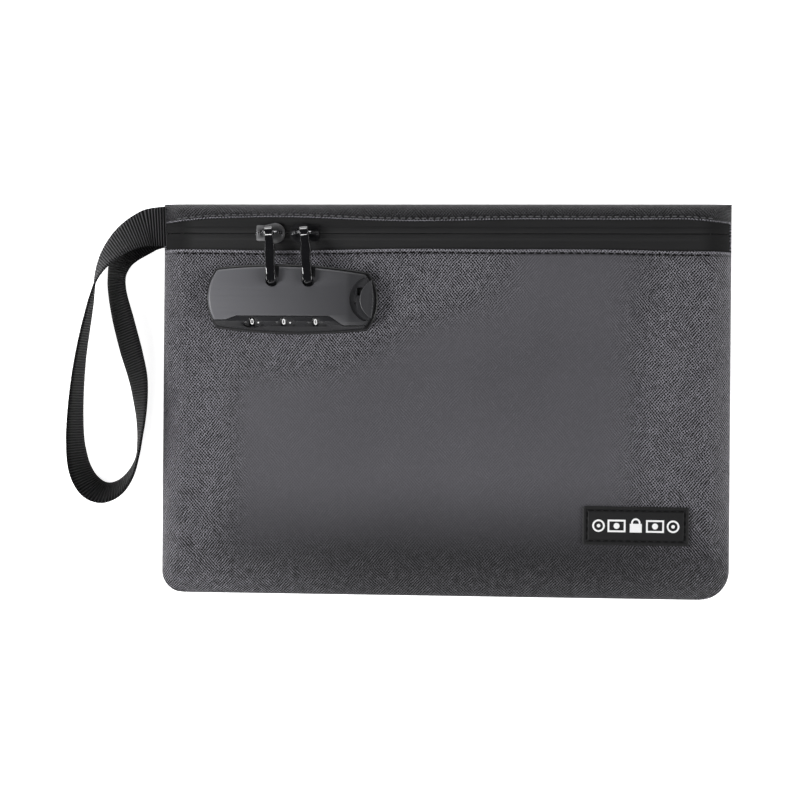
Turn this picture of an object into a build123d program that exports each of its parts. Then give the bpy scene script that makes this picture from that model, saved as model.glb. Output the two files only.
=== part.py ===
from build123d import *
import math
import os

os.makedirs("parts", exist_ok=True)

# Cash deposit bag lying on its back: millimetres, +X along the zip, +Y towards the zip edge,
# +Z out of the front face. The origin is at the middle of the bag, on the surface it lies on.

# ---- driving dimensions ----
BAG_W = 290.0
BAG_H = 200.0
FRONT_Z = 15.0
SEAM_Z = 6.0
CORNER_R = 13.0
LEATHER_T = 1.2
TAPE_INSET = 1.3
TAPE_T = 0.7
FRONT_LINING_INSET = 3.8
BACK_LINING_INSET = 1.5
LINING_T = 0.4
FRONT_RUNS = (9.0, 14.0, 5.0)   # how far the front slopes in at the sides, the bottom and the top
BACK_RUNS = (8.0, 10.0, 3.0)

ZIP_Y = 84.6
PANEL_TOP_Y = 76.4              # folded edge of the front panel below the zip
STRIP_Y = 91.5                  # folded edge of the back panel above the zip
TAPE_SLIT = 0.9
LOWER_TAPE_Y = 66.0
UPPER_TAPE_Y = 94.2
COIL_END_X = 134.0
COIL_IN = 0.55
COIL_OUT = 3.0
COIL_T = 1.85

SLIDER_LEN = 14.6
SLIDER_REAR_W = 8.0
SLIDER_NOSE_W = 10.3
SLIDER_PLATE_Z = 13.95
SLIDER_PLATE_T = 1.2
LEFT_SLIDER_REAR_X = -95.8
RIGHT_SLIDER_REAR_X = -63.9
BRIDGE_R = 0.9
BRIDGE_Z = 18.4

EYE_R = 3.4
EYE_HOLE_R = 1.7
EYE_W = 3.2
PULLER_W = 5.0
PULLER_TIP_Y = 58.2
PULLER_TIP_Z = 23.6
PULLER_PRESS = 11.5             # degrees that a puller turns down into its slot

LOCK_CX = -77.0
LOCK_CY = 51.0
BASE_Z = 15.05
BASE_TOP_Z = 17.0
COVER_CROWN_Z = 23.5
COVER_CROWN_R = 85.0
SLOT_XS = (-86.6, -68.0)
SLOT_W = 6.8
SLOT_END_Y = 56.8
SLOT_FLOOR_Z = 18.2
BEZEL_TOP_Z = 22.1
DIAL_XS = (-96.9, -80.7, -64.5)
DIAL_Y = 43.0
DIAL_R = 5.6
DIAL_BOTTOM_Z = 17.7
DIAL_TOP_Z = 21.4
POST_R = 2.0
RUN_FIT = 0.05
WINDOW_R = 6.0

BUTTON_Y = 50.6
RECESS_FLOOR_Z = 21.3
RECESS_HALF_H = 10.9
RECESS_LEFT_X = -47.2
RECESS_STRAIGHT_X = -40.0
RECESS_OPEN_X = -30.0
LATCH_Y = (52.8, 56.3)
FINGER_Y = (58.9, 60.9)
FINGER_Z = (19.6, 20.6)
RESET_X = -44.3
RESET_Y = 48.7
RESET_R = 0.5

PATCH_W = 53.0
PATCH_H = 19.5
PATCH_T = 1.5
PATCH_CX = 97.6
PATCH_CY = -63.9

WEB_W = 20.0
WEB_T = 1.4
STRAP_Y = 88.7
STRAP_ROUTE = [
    (-145.0, 89.0), (-163.0, 86.5), (-177.5, 75.5), (-186.0, 57.5), (-189.6, 33.0), (-191.4, 6.0),
    (-192.2, -17.0), (-189.6, -35.5), (-180.6, -47.0), (-168.0, -44.0), (-160.2, -29.5), (-156.8, -9.5),
    (-158.8, 13.5), (-165.0, 35.0), (-169.6, 56.0), (-167.0, 73.0), (-157.5, 82.0), (-148.0, 84.5),
]


def box(x, y, z):
    """A block between two limits on each axis."""
    size = [hi - lo for lo, hi in (x, y, z)]
    centre = [(hi + lo) / 2 for lo, hi in (x, y, z)]
    return Pos(*centre) * Box(*size)


def outline(side, bottom, top, z):
    """The bag's outline at height z, drawn in from its edge by three distances."""
    width = BAG_W - 2 * side
    height = BAG_H - bottom - top
    face = Pos(0, (bottom - top) / 2, z) * Rectangle(width, height)
    corners = face.vertices().sort_by(Axis.Y)
    face = fillet(corners[:2], max(CORNER_R - side, 3.0))
    return fillet(face.vertices().sort_by(Axis.Y)[-2:], 1.5)


def half_bag(flat_z, runs, inset):
    """Half of the bag's inflated shape, from the seam to a flat face, moved in by inset."""
    rise = abs(flat_z - SEAM_Z)
    at_seam = [inset * math.hypot(run, rise) / rise for run in runs]
    at_flat = [run + edge - inset * run / rise for run, edge in zip(runs, at_seam)]
    far_z = flat_z - math.copysign(inset, flat_z - SEAM_Z)
    return loft([outline(*at_seam, SEAM_Z), outline(*at_flat, far_z)], ruled=True)


def half_shell(flat_z, runs, inset, thickness):
    """A skin of even thickness in one half of the bag."""
    return half_bag(flat_z, runs, inset) - half_bag(flat_z, runs, inset + thickness)


def between_y(low, high):
    """Everything between two places along Y."""
    return box((-200, 200), (low, high), (-5, 40))


def strap_slot():
    """The room in the left side seam where both ends of the strap are sewn in."""
    half = WEB_W / 2 + 0.1
    return box((-BAG_W / 2 - 1, -BAG_W / 2 + 3.6), (STRAP_Y - half, STRAP_Y + half), (4.4, 7.6))


def screw_places():
    """The four screws that hold the lock to the front panel."""
    return [(x, y) for x in (-112.0, -50.0) for y in (44.0, 60.0)]


def screw_holes(radius, z):
    """Four round holes on the lock's screw places."""
    depth = z[1] - z[0]
    holes = [Pos(x, y, (z[0] + z[1]) / 2) * Cylinder(radius, depth) for x, y in screw_places()]
    return sum(holes[1:], holes[0])


def front_panel():
    """Front leather panel, from the bottom seam up to its folded edge below the zip."""
    panel = half_shell(FRONT_Z, FRONT_RUNS, 0.0, LEATHER_T) & between_y(-110, PANEL_TOP_Y)
    return panel - screw_holes(1.5, (12.0, 16.0))


def back_panel():
    """Back leather panel, which folds over the top edge to make the strip above the zip."""
    back = half_shell(0.0, BACK_RUNS, 0.0, LEATHER_T)
    strip = half_shell(FRONT_Z, FRONT_RUNS, 0.0, LEATHER_T) & between_y(STRIP_Y, 110)
    return back + strip - strap_slot()


def front_lining():
    """Lining cloth behind the front panel."""
    skin = half_shell(FRONT_Z, FRONT_RUNS, FRONT_LINING_INSET, LINING_T)
    return skin & between_y(-110, LOWER_TAPE_Y + 2)


def back_lining():
    """Lining cloth inside the back panel."""
    return half_shell(0.0, BACK_RUNS, BACK_LINING_INSET, LINING_T) - strap_slot()


def zip_tape(low, high):
    """One coated zip tape, with its ends turned down into the side seams."""
    tape = half_shell(FRONT_Z, FRONT_RUNS, TAPE_INSET, TAPE_T) & between_y(low, high)
    return tape - strap_slot() - screw_holes(1.5, (12.0, 16.0))


def zip_coil(side):
    """One nylon coil, under the edge of its tape."""
    top = FRONT_Z - TAPE_INSET - TAPE_T
    near, far = sorted((ZIP_Y + side * COIL_IN, ZIP_Y + side * COIL_OUT))
    coil = box((-COIL_END_X, COIL_END_X), (near, far), (top - COIL_T, top))
    outer = [e for e in coil.edges().filter_by(Axis.X) if e.center().Z < top - 1]
    return fillet(outer, 0.6)


def zip_end_stops():
    """A crimped stop across the coils at each end of the zip."""
    top = FRONT_Z - TAPE_INSET - TAPE_T
    stop = box((COIL_END_X, COIL_END_X + 1.2), (ZIP_Y - 3.2, ZIP_Y + 3.2), (top - 2.1, top))
    return Compound(children=[stop, stop.mirror(Plane.YZ)])


def slider_outline():
    """A slider seen from above, with its rear at x = 0 and its nose towards +X."""
    half_rear = SLIDER_REAR_W / 2
    half_nose = SLIDER_NOSE_W / 2
    shoulder = SLIDER_LEN - half_nose
    lines = Polyline((shoulder, -half_nose), (4.2, -half_rear), (0, -half_rear), (0, half_rear),
                     (4.2, half_rear), (shoulder, half_nose))
    nose = ThreePointArc((shoulder, half_nose), (SLIDER_LEN, 0), (shoulder, -half_nose))
    return fillet(make_face([lines, nose]).vertices().sort_by(Axis.X)[:2], 0.8)


def slider(rear_x, facing):
    """A zip slider: a plate over the tape, a channel round the coils, and a bridge for the puller."""
    outline_face = slider_outline()
    plate = extrude(Pos(0, 0, SLIDER_PLATE_Z) * outline_face, SLIDER_PLATE_T)
    well = Pos(7.0, 0, SLIDER_PLATE_Z + 0.6) * SlotOverall(10.8, 4.6)
    plate -= extrude(well, 2.0)
    under = extrude(Pos(0, 0, 9.6) * outline_face, 1.2)
    flange = box((0.4, 10.0), (3.35, 4.1), (10.8, 12.7)) & extrude(Pos(0, 0, 9.6) * outline_face, 4)
    flanges = flange + flange.mirror(Plane.XZ)
    neck = box((9.6, 12.6), (-0.22, 0.22), (10.8, SLIDER_PLATE_Z))
    bar = Pos(7.0, 0, BRIDGE_Z) * Rot(0, 90, 0) * Cylinder(BRIDGE_R, 11.8)
    foot = box((-0.1, 1.7), (-BRIDGE_R, BRIDGE_R), (SLIDER_PLATE_Z + 0.4, BRIDGE_Z + BRIDGE_R))
    feet = Pos(0.3, 0, 0) * foot + Pos(12.1, 0, 0) * foot
    whole = plate + under + flanges + neck + bar + feet
    if facing < 0:
        whole = whole.mirror(Plane.YZ)
    return Pos(rear_x, ZIP_Y, 0) * whole


def slider_middle(rear_x, facing):
    """Where a slider's bridge is centred along X."""
    return rear_x + facing * 7.0


def puller_side():
    """A puller's arm seen from the side, in Y and Z: a gooseneck that ends flat over its slot."""
    return Polyline(
        (84.6, 15.9), (82.2, 16.4), (80.0, 18.6), (69.5, 22.6), (66.5, PULLER_TIP_Z),
        (59.2, PULLER_TIP_Z), (PULLER_TIP_Y, PULLER_TIP_Z + 0.9), (PULLER_TIP_Y, PULLER_TIP_Z + 2.0),
        (59.4, PULLER_TIP_Z + 3.0), (66.8, PULLER_TIP_Z + 3.0), (70.6, 25.6), (83.0, 21.3),
        (84.6, 21.2), close=True)


def puller(eye_x, slot_x):
    """A long zip puller with an eye round the slider's bridge and a notched tip for the lock."""
    side = make_face(Plane.YZ * puller_side())
    arm = extrude(side, PULLER_W / 2, both=True)
    plan = Polyline((-1.6, 90), (1.6, 90), (1.6, 80), (2.5, 74), (2.5, PULLER_TIP_Y + 2.0),
                    (1.2, PULLER_TIP_Y), (-1.2, PULLER_TIP_Y), (-2.5, PULLER_TIP_Y + 2.0),
                    (-2.5, 74), (-1.6, 80), close=True)
    arm &= extrude(make_face(plan), 40)
    eye = Pos(0, ZIP_Y, BRIDGE_Z) * Rot(0, 90, 0) * Cylinder(EYE_R, EYE_W)
    hole = Pos(0, ZIP_Y, BRIDGE_Z) * Rot(0, 90, 0) * Cylinder(EYE_HOLE_R, 20)
    whole = arm + eye - hole
    lean = math.degrees(math.atan2(slot_x - eye_x, ZIP_Y - 60.0))
    whole = Pos(eye_x, ZIP_Y, 0) * Rot(0, 0, lean) * Pos(0, -ZIP_Y, 0) * whole
    notch = box((-10, -0.8), (59.5, 62.0), (24.25, 25.85))
    notch = Pos(slot_x, 60.7, 25.0) * Rot(-PULLER_PRESS, 0, 0) * Pos(0, -60.7, -25.0) * notch
    return whole - notch


def lock_outline(inset):
    """The lock's barrel outline, drawn in by inset."""
    top = ThreePointArc((-115.2, 66.4), (-78, 68.1), (-39.0, 64.2))
    right = ThreePointArc((-39.0, 64.2), (-33.9, 50.4), (-39.4, 35.4))
    bottom = ThreePointArc((-39.4, 35.4), (-77, 33.5), (-115.2, 36.2))
    left = ThreePointArc((-115.2, 36.2), (-120.3, 52.0), (-115.2, 66.4))
    face = make_face([top, right, bottom, left])
    face = fillet(face.vertices(), 3.0)
    return offset(face, -inset) if inset else face


def bezel_region(shift):
    """Everything below the stepped line that parts the cover from the dial bezel."""
    line = FilletPolyline((-130, 40.0 + shift), (-110.4, 40.0 + shift), (-104.5, 42.1 + shift),
                          (-57.4, 42.1 + shift), (-50.4, 37.3 + shift), (-20, 37.3 + shift), radius=3.0)
    rest = Polyline(line @ 1, (-20, 20), (-130, 20), line @ 0)
    return extrude(Pos(0, 0, BASE_TOP_Z) * make_face([line, rest]), 20)


def dial_cut(x, radius, z):
    """A round pocket on a dial's axis."""
    return Pos(x, DIAL_Y, (z[0] + z[1]) / 2) * Cylinder(radius, z[1] - z[0])


def slot_cut(x):
    """A U slot, open through the lock's top edge."""
    reach = 14.0
    shape = Pos(x, SLOT_END_Y + SLOT_W / 2 + reach / 2) * Rectangle(SLOT_W, reach)
    shape += Pos(x, SLOT_END_Y + SLOT_W / 2) * Circle(SLOT_W / 2)
    return extrude(Pos(0, 0, SLOT_FLOOR_Z) * shape, 20)


def lock_base():
    """Lock base plate with the raised floor of the two slots."""
    base = extrude(Pos(0, 0, BASE_Z) * lock_outline(0), BASE_TOP_Z - BASE_Z)
    base = chamfer(base.faces().sort_by(Axis.Z)[-1].edges(), 0.6)
    for x in SLOT_XS:
        base += box((x - 3.2, x + 3.2), (62.2, 66.4), (BASE_TOP_Z, SLOT_FLOOR_Z))
    return base - screw_holes(1.45, (BASE_Z - 1, BASE_TOP_Z - 0.6))


def lock_shell(inset):
    """The lock's upper body as one crowned block, before it is parted and hollowed."""
    block = extrude(Pos(0, 0, BASE_TOP_Z) * lock_outline(inset), 12)
    crown = Pos(LOCK_CX, LOCK_CY, COVER_CROWN_Z - COVER_CROWN_R) * Rot(0, 90, 0) * Cylinder(COVER_CROWN_R, 140)
    return block & crown


def recess_outline():
    """The D-shaped thumb recess, bulging to the left and open at the lock's right end."""
    top, bottom = BUTTON_Y + RECESS_HALF_H, BUTTON_Y - RECESS_HALF_H
    curve = ThreePointArc((RECESS_STRAIGHT_X, top), (RECESS_LEFT_X, BUTTON_Y), (RECESS_STRAIGHT_X, bottom))
    rest = Polyline(curve @ 1, (RECESS_OPEN_X, bottom), (RECESS_OPEN_X, top), curve @ 0)
    return make_face([curve, rest])


def lock_cover():
    """Lock cover with the puller slots, the thumb recess and room for the works."""
    cover = lock_shell(1.0)
    cover = fillet(cover.faces().sort_by(Axis.Z)[-1].edges(), 1.4)
    cover -= bezel_region(0.15)
    for x in SLOT_XS:
        cover -= slot_cut(x)
        cover -= box((x - 3.6, x + 3.6), (62.0, 70.0), (BASE_TOP_Z - 1, SLOT_FLOOR_Z + 0.1))
        cover -= box((x - 10.8, x - 2.9), (LATCH_Y[0] - 0.4, FINGER_Y[1] + 0.4), (16, 20.9))
    cover -= box((-106.5, -35.8), (LATCH_Y[0] - 0.4, LATCH_Y[1] + 0.4), (16, 20.3))
    for x in DIAL_XS:
        cover -= dial_cut(x, WINDOW_R, (16, DIAL_TOP_Z + 0.4))
        cover -= box((x - 4.3, x + 4.3), (DIAL_Y, 50.4), (16, 20.4))
    cover -= extrude(Pos(0, 0, RECESS_FLOOR_Z) * recess_outline(), 8)
    cover -= box((-43.4, -36.2), (52.6, 56.7), (16, 30))
    cover -= Pos(RESET_X, RESET_Y, 20) * Cylinder(RESET_R + RUN_FIT, 8)
    return cover


def dial_bezel():
    """The stepped lower face of the lock, with a window over each dial."""
    bezel = lock_shell(1.0) & box((-130, -20), (20, 60), (BASE_TOP_Z, BEZEL_TOP_Z))
    slope = Plane.YZ * Polyline((30, 17.6), (34.6, 17.6), (39.4, BEZEL_TOP_Z), (39.4, 30), (30, 30), close=True)
    bezel -= Pos(-140, 0, 0) * extrude(make_face(slope), 120)
    bezel &= bezel_region(-0.15)
    for x in DIAL_XS:
        bezel -= dial_cut(x, WINDOW_R, (16, DIAL_TOP_Z + 0.25))
        bezel -= dial_cut(x, WINDOW_R, (16, 30)) & between_y(20, DIAL_Y - 3.8)
        bezel -= Pos(x, DIAL_Y - 3.6, 22) * Cylinder(2.1, 10)
    return bezel


def dial(x):
    """A number dial: a bevelled wheel with ten finger notches in its rim."""
    wheel = Pos(x, DIAL_Y, (DIAL_BOTTOM_Z + DIAL_TOP_Z) / 2) * Cylinder(DIAL_R, DIAL_TOP_Z - DIAL_BOTTOM_Z)
    wheel = chamfer(wheel.faces().sort_by(Axis.Z)[-1].edges(), 2.0)
    for step in range(10):
        angle = math.radians(36 * step + 18)
        spot = Pos(x + DIAL_R * math.sin(angle), DIAL_Y + DIAL_R * math.cos(angle), 20)
        wheel -= spot * Cylinder(0.45, 12)
    return wheel - dial_cut(x, POST_R + RUN_FIT, (10, 30))


def dial_sleeve(x):
    """The coded sleeve under a dial, with the gate that lets the latch pass."""
    sleeve = dial_cut(x, 3.6, (BASE_TOP_Z + 0.1, DIAL_BOTTOM_Z))
    sleeve -= dial_cut(x, POST_R + RUN_FIT, (10, 30))
    return sleeve - box((x - 0.7, x + 0.7), (DIAL_Y + 2.6, DIAL_Y + 5), (10, 30))


def dial_posts():
    """The three fixed posts that the dials turn on."""
    return Compound(children=[dial_cut(x, POST_R, (BASE_TOP_Z, DIAL_TOP_Z + 0.2)) for x in DIAL_XS])


def detent_springs():
    """A leaf spring behind each dial, which clicks it into each number."""
    leaves = [box((x - 4.0, x + 4.0), (49.2, 49.5), (BASE_TOP_Z, 20.0)) for x in DIAL_XS]
    return Compound(children=leaves)


def latch_bar():
    """The sliding latch: a bar under the button with a finger for each puller."""
    bar = box((-97.4, -36.6), LATCH_Y, (BASE_TOP_Z + 0.1, 19.9))
    for x in SLOT_XS:
        bar += box((x - 6.4, x - 4.4), (LATCH_Y[0], FINGER_Y[1]), (BASE_TOP_Z + 0.1, FINGER_Z[1]))
        bar += box((x - 6.4, x - 1.3), FINGER_Y, FINGER_Z)
    return bar


def latch_spring():
    """The return spring at the left end of the latch bar."""
    turns = Helix(pitch=1.3, height=7.8, radius=1.1)
    wire = Plane(turns @ 0, z_dir=turns % 0) * Circle(0.17)
    coil = sweep(wire, turns, is_frenet=True)
    return Pos(-105.6, 54.55, 18.6) * Rot(0, 90, 0) * coil


def release_button():
    """The lens-shaped thumb button, with its stem down to the latch bar."""
    left = ThreePointArc((-36.0, 60.3), (-42.0, BUTTON_Y), (-36.0, 40.9))
    right = ThreePointArc((-36.0, 40.9), (-35.0, BUTTON_Y), (-36.0, 60.3))
    pad = extrude(Pos(0, 0, RECESS_FLOOR_Z + 0.2) * make_face([left, right]), 1.5)
    pad = fillet(pad.faces().sort_by(Axis.Z)[-1].edges(), 0.5)
    return pad + box((-39.2, -36.6), (53.0, 56.2), (19.9, RECESS_FLOOR_Z + 0.4))


def reset_plunger():
    """The small pin that is pressed through the recess floor to set a new code."""
    return Pos(RESET_X, RESET_Y, 19.75) * Cylinder(RESET_R, 2.5)


def backing_plate():
    """The metal plate inside the bag that the lock is screwed to."""
    plate = Pos(-81.0, 52.0, 12.9) * Box(70, 26, 1.2)
    plate = fillet(plate.edges().filter_by(Axis.Z), 3.0)
    return plate - screw_holes(1.5, (10, 16))


def lock_screws():
    """Four screws from inside the bag into the lock base."""
    screws = []
    for x, y in screw_places():
        head = Pos(x, y, 12.0) * Cylinder(2.4, 0.6)
        screws.append(head + Pos(x, y, 14.3) * Cylinder(1.4, 4.1))
    return Compound(children=screws)


def label_patch():
    """The moulded rubber patch at the lower right, with a raised rim and no mark."""
    body = Pos(PATCH_CX, PATCH_CY, FRONT_Z + PATCH_T / 2) * Box(PATCH_W, PATCH_H, PATCH_T)
    body = fillet(body.edges().filter_by(Axis.Z), 1.6)
    field = Pos(PATCH_CX, PATCH_CY, FRONT_Z + PATCH_T) * Box(PATCH_W - 7.0, PATCH_H - 7.0, 0.8)
    return body - field


def strap_radii():
    """A bend radius for each corner of the strap's route, as large as its runs allow."""
    points = [Vector(x, y) for x, y in STRAP_ROUTE]
    radii = []
    for before, at, after in zip(points, points[1:], points[2:]):
        turn = math.radians((at - before).get_angle(after - at))
        run = min((at - before).length, (after - at).length)
        radii.append(0.45 * run / math.tan(turn / 2))
    return radii


def wrist_strap():
    """The webbing loop, lying on its edge beside the bag, with both ends flat in the seam."""
    radii = strap_radii()
    route = FilletPolyline(*STRAP_ROUTE, radius=radii)
    print("strap route length", round(route.length, 1), "bend radii", [round(r, 1) for r in radii])
    band = extrude(trace(route, line_width=WEB_T), WEB_W)
    tab = box((-BAG_W / 2 - 4.0, -BAG_W / 2 + 3.4), (STRAP_Y - WEB_W / 2, STRAP_Y + WEB_W / 2), (4.6, 7.4))
    outside = box((-300, -BAG_W / 2 - 0.2), (-200, 200), (-5, 40))
    return (Pos(0, 0, 0.1) * band & outside) + tab


def nodes():
    """Every piece by its node name."""
    half_slit = TAPE_SLIT / 2
    left_eye = slider_middle(LEFT_SLIDER_REAR_X, 1)
    right_eye = slider_middle(RIGHT_SLIDER_REAR_X, -1)
    parts = {
        "front_panel": front_panel(),
        "back_panel": back_panel(),
        "front_lining": front_lining(),
        "back_lining": back_lining(),
        "zip_tape_lower": zip_tape(LOWER_TAPE_Y, ZIP_Y - half_slit),
        "zip_tape_upper": zip_tape(ZIP_Y + half_slit, UPPER_TAPE_Y),
        "zip_coil_lower": zip_coil(-1),
        "zip_coil_upper": zip_coil(1),
        "zip_end_stops": zip_end_stops(),
        "slider_left": slider(LEFT_SLIDER_REAR_X, 1),
        "slider_right": slider(RIGHT_SLIDER_REAR_X, -1),
        "puller_left": puller(left_eye, SLOT_XS[0]),
        "puller_right": puller(right_eye, SLOT_XS[1]),
        "lock_base": lock_base(),
        "lock_cover": lock_cover(),
        "dial_bezel": dial_bezel(),
        "dial_posts": dial_posts(),
        "detent_springs": detent_springs(),
        "latch_bar": latch_bar(),
        "latch_spring": latch_spring(),
        "release_button": release_button(),
        "reset_plunger": reset_plunger(),
        "lock_backing_plate": backing_plate(),
        "lock_screws": lock_screws(),
        "label_patch": label_patch(),
        "wrist_strap": wrist_strap(),
    }
    for number, x in enumerate(DIAL_XS, start=1):
        parts[f"dial_{number}"] = dial(x)
        parts[f"dial_sleeve_{number}"] = dial_sleeve(x)
    return parts


for name, shape in nodes().items():
    export_step(shape, f"parts/{name}.step")
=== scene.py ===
import math

import bpy
from mathutils import Matrix, Vector


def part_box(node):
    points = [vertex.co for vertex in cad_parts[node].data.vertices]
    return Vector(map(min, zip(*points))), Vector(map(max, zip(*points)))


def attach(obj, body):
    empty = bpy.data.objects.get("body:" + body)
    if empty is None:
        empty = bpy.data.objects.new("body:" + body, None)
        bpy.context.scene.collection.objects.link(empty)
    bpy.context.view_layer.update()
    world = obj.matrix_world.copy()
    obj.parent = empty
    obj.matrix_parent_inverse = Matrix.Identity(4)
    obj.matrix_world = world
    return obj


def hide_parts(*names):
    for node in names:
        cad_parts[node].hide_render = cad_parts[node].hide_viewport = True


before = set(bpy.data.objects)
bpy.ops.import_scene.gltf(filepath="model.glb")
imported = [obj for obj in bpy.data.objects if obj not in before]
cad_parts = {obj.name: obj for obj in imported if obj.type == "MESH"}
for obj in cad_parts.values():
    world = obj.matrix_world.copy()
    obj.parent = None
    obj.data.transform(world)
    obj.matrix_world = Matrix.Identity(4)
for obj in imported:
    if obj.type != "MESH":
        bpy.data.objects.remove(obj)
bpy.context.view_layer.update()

bl_info = {
    "name": "Cash deposit bag looks",
    "version": (1, 0, 0),
    "blender": (4, 5, 0),
    "location": "3D View > Sidebar > Cash Bag",
    "description": "Leather, zip, lock, label patch and wrist strap of a cash deposit bag",
    "category": "Add Mesh",
}

MM = 0.001


def mid(node):
    """The middle of a node's box, in metres."""
    low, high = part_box(node)
    return (Vector(low) + Vector(high)) / 2


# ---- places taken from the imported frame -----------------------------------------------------

PANEL_LOW, PANEL_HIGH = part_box("front_panel")
BACK_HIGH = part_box("back_panel")[1]
HALF_W = BACK_HIGH[0]
EDGE_Y = BACK_HIGH[1]
FRONT_Z = PANEL_HIGH[2]
SEAM_Z = PANEL_LOW[2]
PANEL_TOP_Y = PANEL_HIGH[1]
LOWER_TAPE_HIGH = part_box("zip_tape_lower")[1]
UPPER_TAPE_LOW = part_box("zip_tape_upper")[0]
ZIP_Y = (LOWER_TAPE_HIGH[1] + UPPER_TAPE_LOW[1]) / 2
TAPE_Z = LOWER_TAPE_HIGH[2]
PATCH_LOW, PATCH_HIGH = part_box("label_patch")

# ---- sizes and places that no node's box gives ----------------------------------------------

STRIP_Y = 91.5 * MM
HATCH_ANGLE = math.radians(49)
BORE = 2.1 * MM
STRAP_RUN = 328 * MM
VIEW_WIDTH = 409.6 * MM
SLOT_X = {"left": -86.6 * MM, "right": -68.0 * MM}
SLOPE = 1.6 / 3.5
DIALS = (1, 2, 3)


# ---- settings a user can change -------------------------------------------------------------

def length(name, text, default):
    """A length setting, in metres."""
    return bpy.props.FloatProperty(name=name, description=text, default=default, unit="LENGTH", precision=5)


def colour(name, text, default):
    """A linear colour setting."""
    return bpy.props.FloatVectorProperty(name=name, description=text, default=default, subtype="COLOR",
                                         size=3, min=0.0, max=1.0)


class LeatherSettings(bpy.types.PropertyGroup):
    """Sizes and colours of the leather body."""
    side_run: length("Side run", "How far the leather takes to rise from a side seam", 13 * MM)
    bottom_run: length("Bottom run", "How far the leather takes to rise from the bottom seam", 27 * MM)
    belly: length("Belly", "How far the middle of the front swells above its flat", 2.6 * MM)
    thickness: length("Thickness", "Leather thickness", 1.0 * MM)
    left_corner: length("Left corner", "Radius of the lower left corner", 11 * MM)
    right_corner: length("Right corner", "Radius of the lower right corner", 15 * MM)
    hatch: length("Hatch pitch", "Distance between the pressed lines", 1.16 * MM)
    # How much lighter the ridges are painted, as painted highlights.
    contrast: bpy.props.FloatProperty(name="Contrast", default=5.2,
                                      description="How much lighter the ridges are")
    tint: colour("Leather", "Leather colour", (0.078, 0.076, 0.085))


class ZipSettings(bpy.types.PropertyGroup):
    """Sizes and colours of the zip."""
    slit: length("Slit", "Gap between the two tapes", 0.34 * MM)
    stitch_pitch: length("Stitch pitch", "Distance from stitch to stitch", 4.0 * MM)
    stitch_length: length("Stitch length", "Visible length of one stitch", 2.9 * MM)
    thread: length("Thread", "Thread thickness", 0.8 * MM)
    tint: colour("Tape", "Coated tape colour", (0.0095, 0.0095, 0.01))


class LockSettings(bpy.types.PropertyGroup):
    """Sizes and colours of the lock and pullers."""
    edge: length("Edge", "Rounding of the lock's moulded edges", 0.35 * MM)
    digit: length("Digit", "Height of a dial number", 3.1 * MM)
    shell: colour("Cover", "Cover colour", (0.085, 0.085, 0.092))
    gloss: colour("Pullers", "Puller colour", (0.006, 0.006, 0.007))


class PatchSettings(bpy.types.PropertyGroup):
    """Sizes and colours of the rubber label patch."""
    rim: length("Rim", "Width of the raised rim", 1.4 * MM)
    groove: length("Groove", "Width of the stitched groove", 1.1 * MM)
    depth: length("Depth", "Depth of the stitched groove", 0.5 * MM)
    tint: colour("Rubber", "Rubber colour", (0.0085, 0.0085, 0.009))


class StrapSettings(bpy.types.PropertyGroup):
    """Sizes and colours of the wrist strap."""
    width: length("Width", "Webbing width", 20.4 * MM)
    thickness: length("Thickness", "Webbing thickness", 1.3 * MM)
    rib: length("Rib pitch", "Distance from rib to rib", 1.35 * MM)
    tint: colour("Webbing", "Webbing colour", (0.0085, 0.0085, 0.009))


SETTINGS = {
    "bag_leather": LeatherSettings,
    "bag_zip": ZipSettings,
    "bag_lock": LockSettings,
    "bag_patch": PatchSettings,
    "bag_strap": StrapSettings,
}


def settings(name):
    """One settings group of this scene."""
    return getattr(bpy.context.scene, name)


# ---- shader maths ---------------------------------------------------------------------------

class Sock:
    """A shader socket that can be used in Python sums."""

    def __init__(self, shader, socket):
        self.shader = shader
        self.socket = socket

    def maths(self, operation, *others):
        node = self.shader.add("ShaderNodeMath", {"operation": operation}, [self, *others])
        return self.shader.out(node)

    def __add__(self, other):
        return self.maths("ADD", other)

    __radd__ = __add__

    def __mul__(self, other):
        return self.maths("MULTIPLY", other)

    __rmul__ = __mul__

    def __sub__(self, other):
        return self.maths("SUBTRACT", other)

    def __rsub__(self, other):
        return (self * -1.0) + other

    def __truediv__(self, other):
        return self.maths("DIVIDE", other)

    def __pow__(self, other):
        return self.maths("POWER", other)

    def __abs__(self):
        return self.maths("ABSOLUTE")


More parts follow.
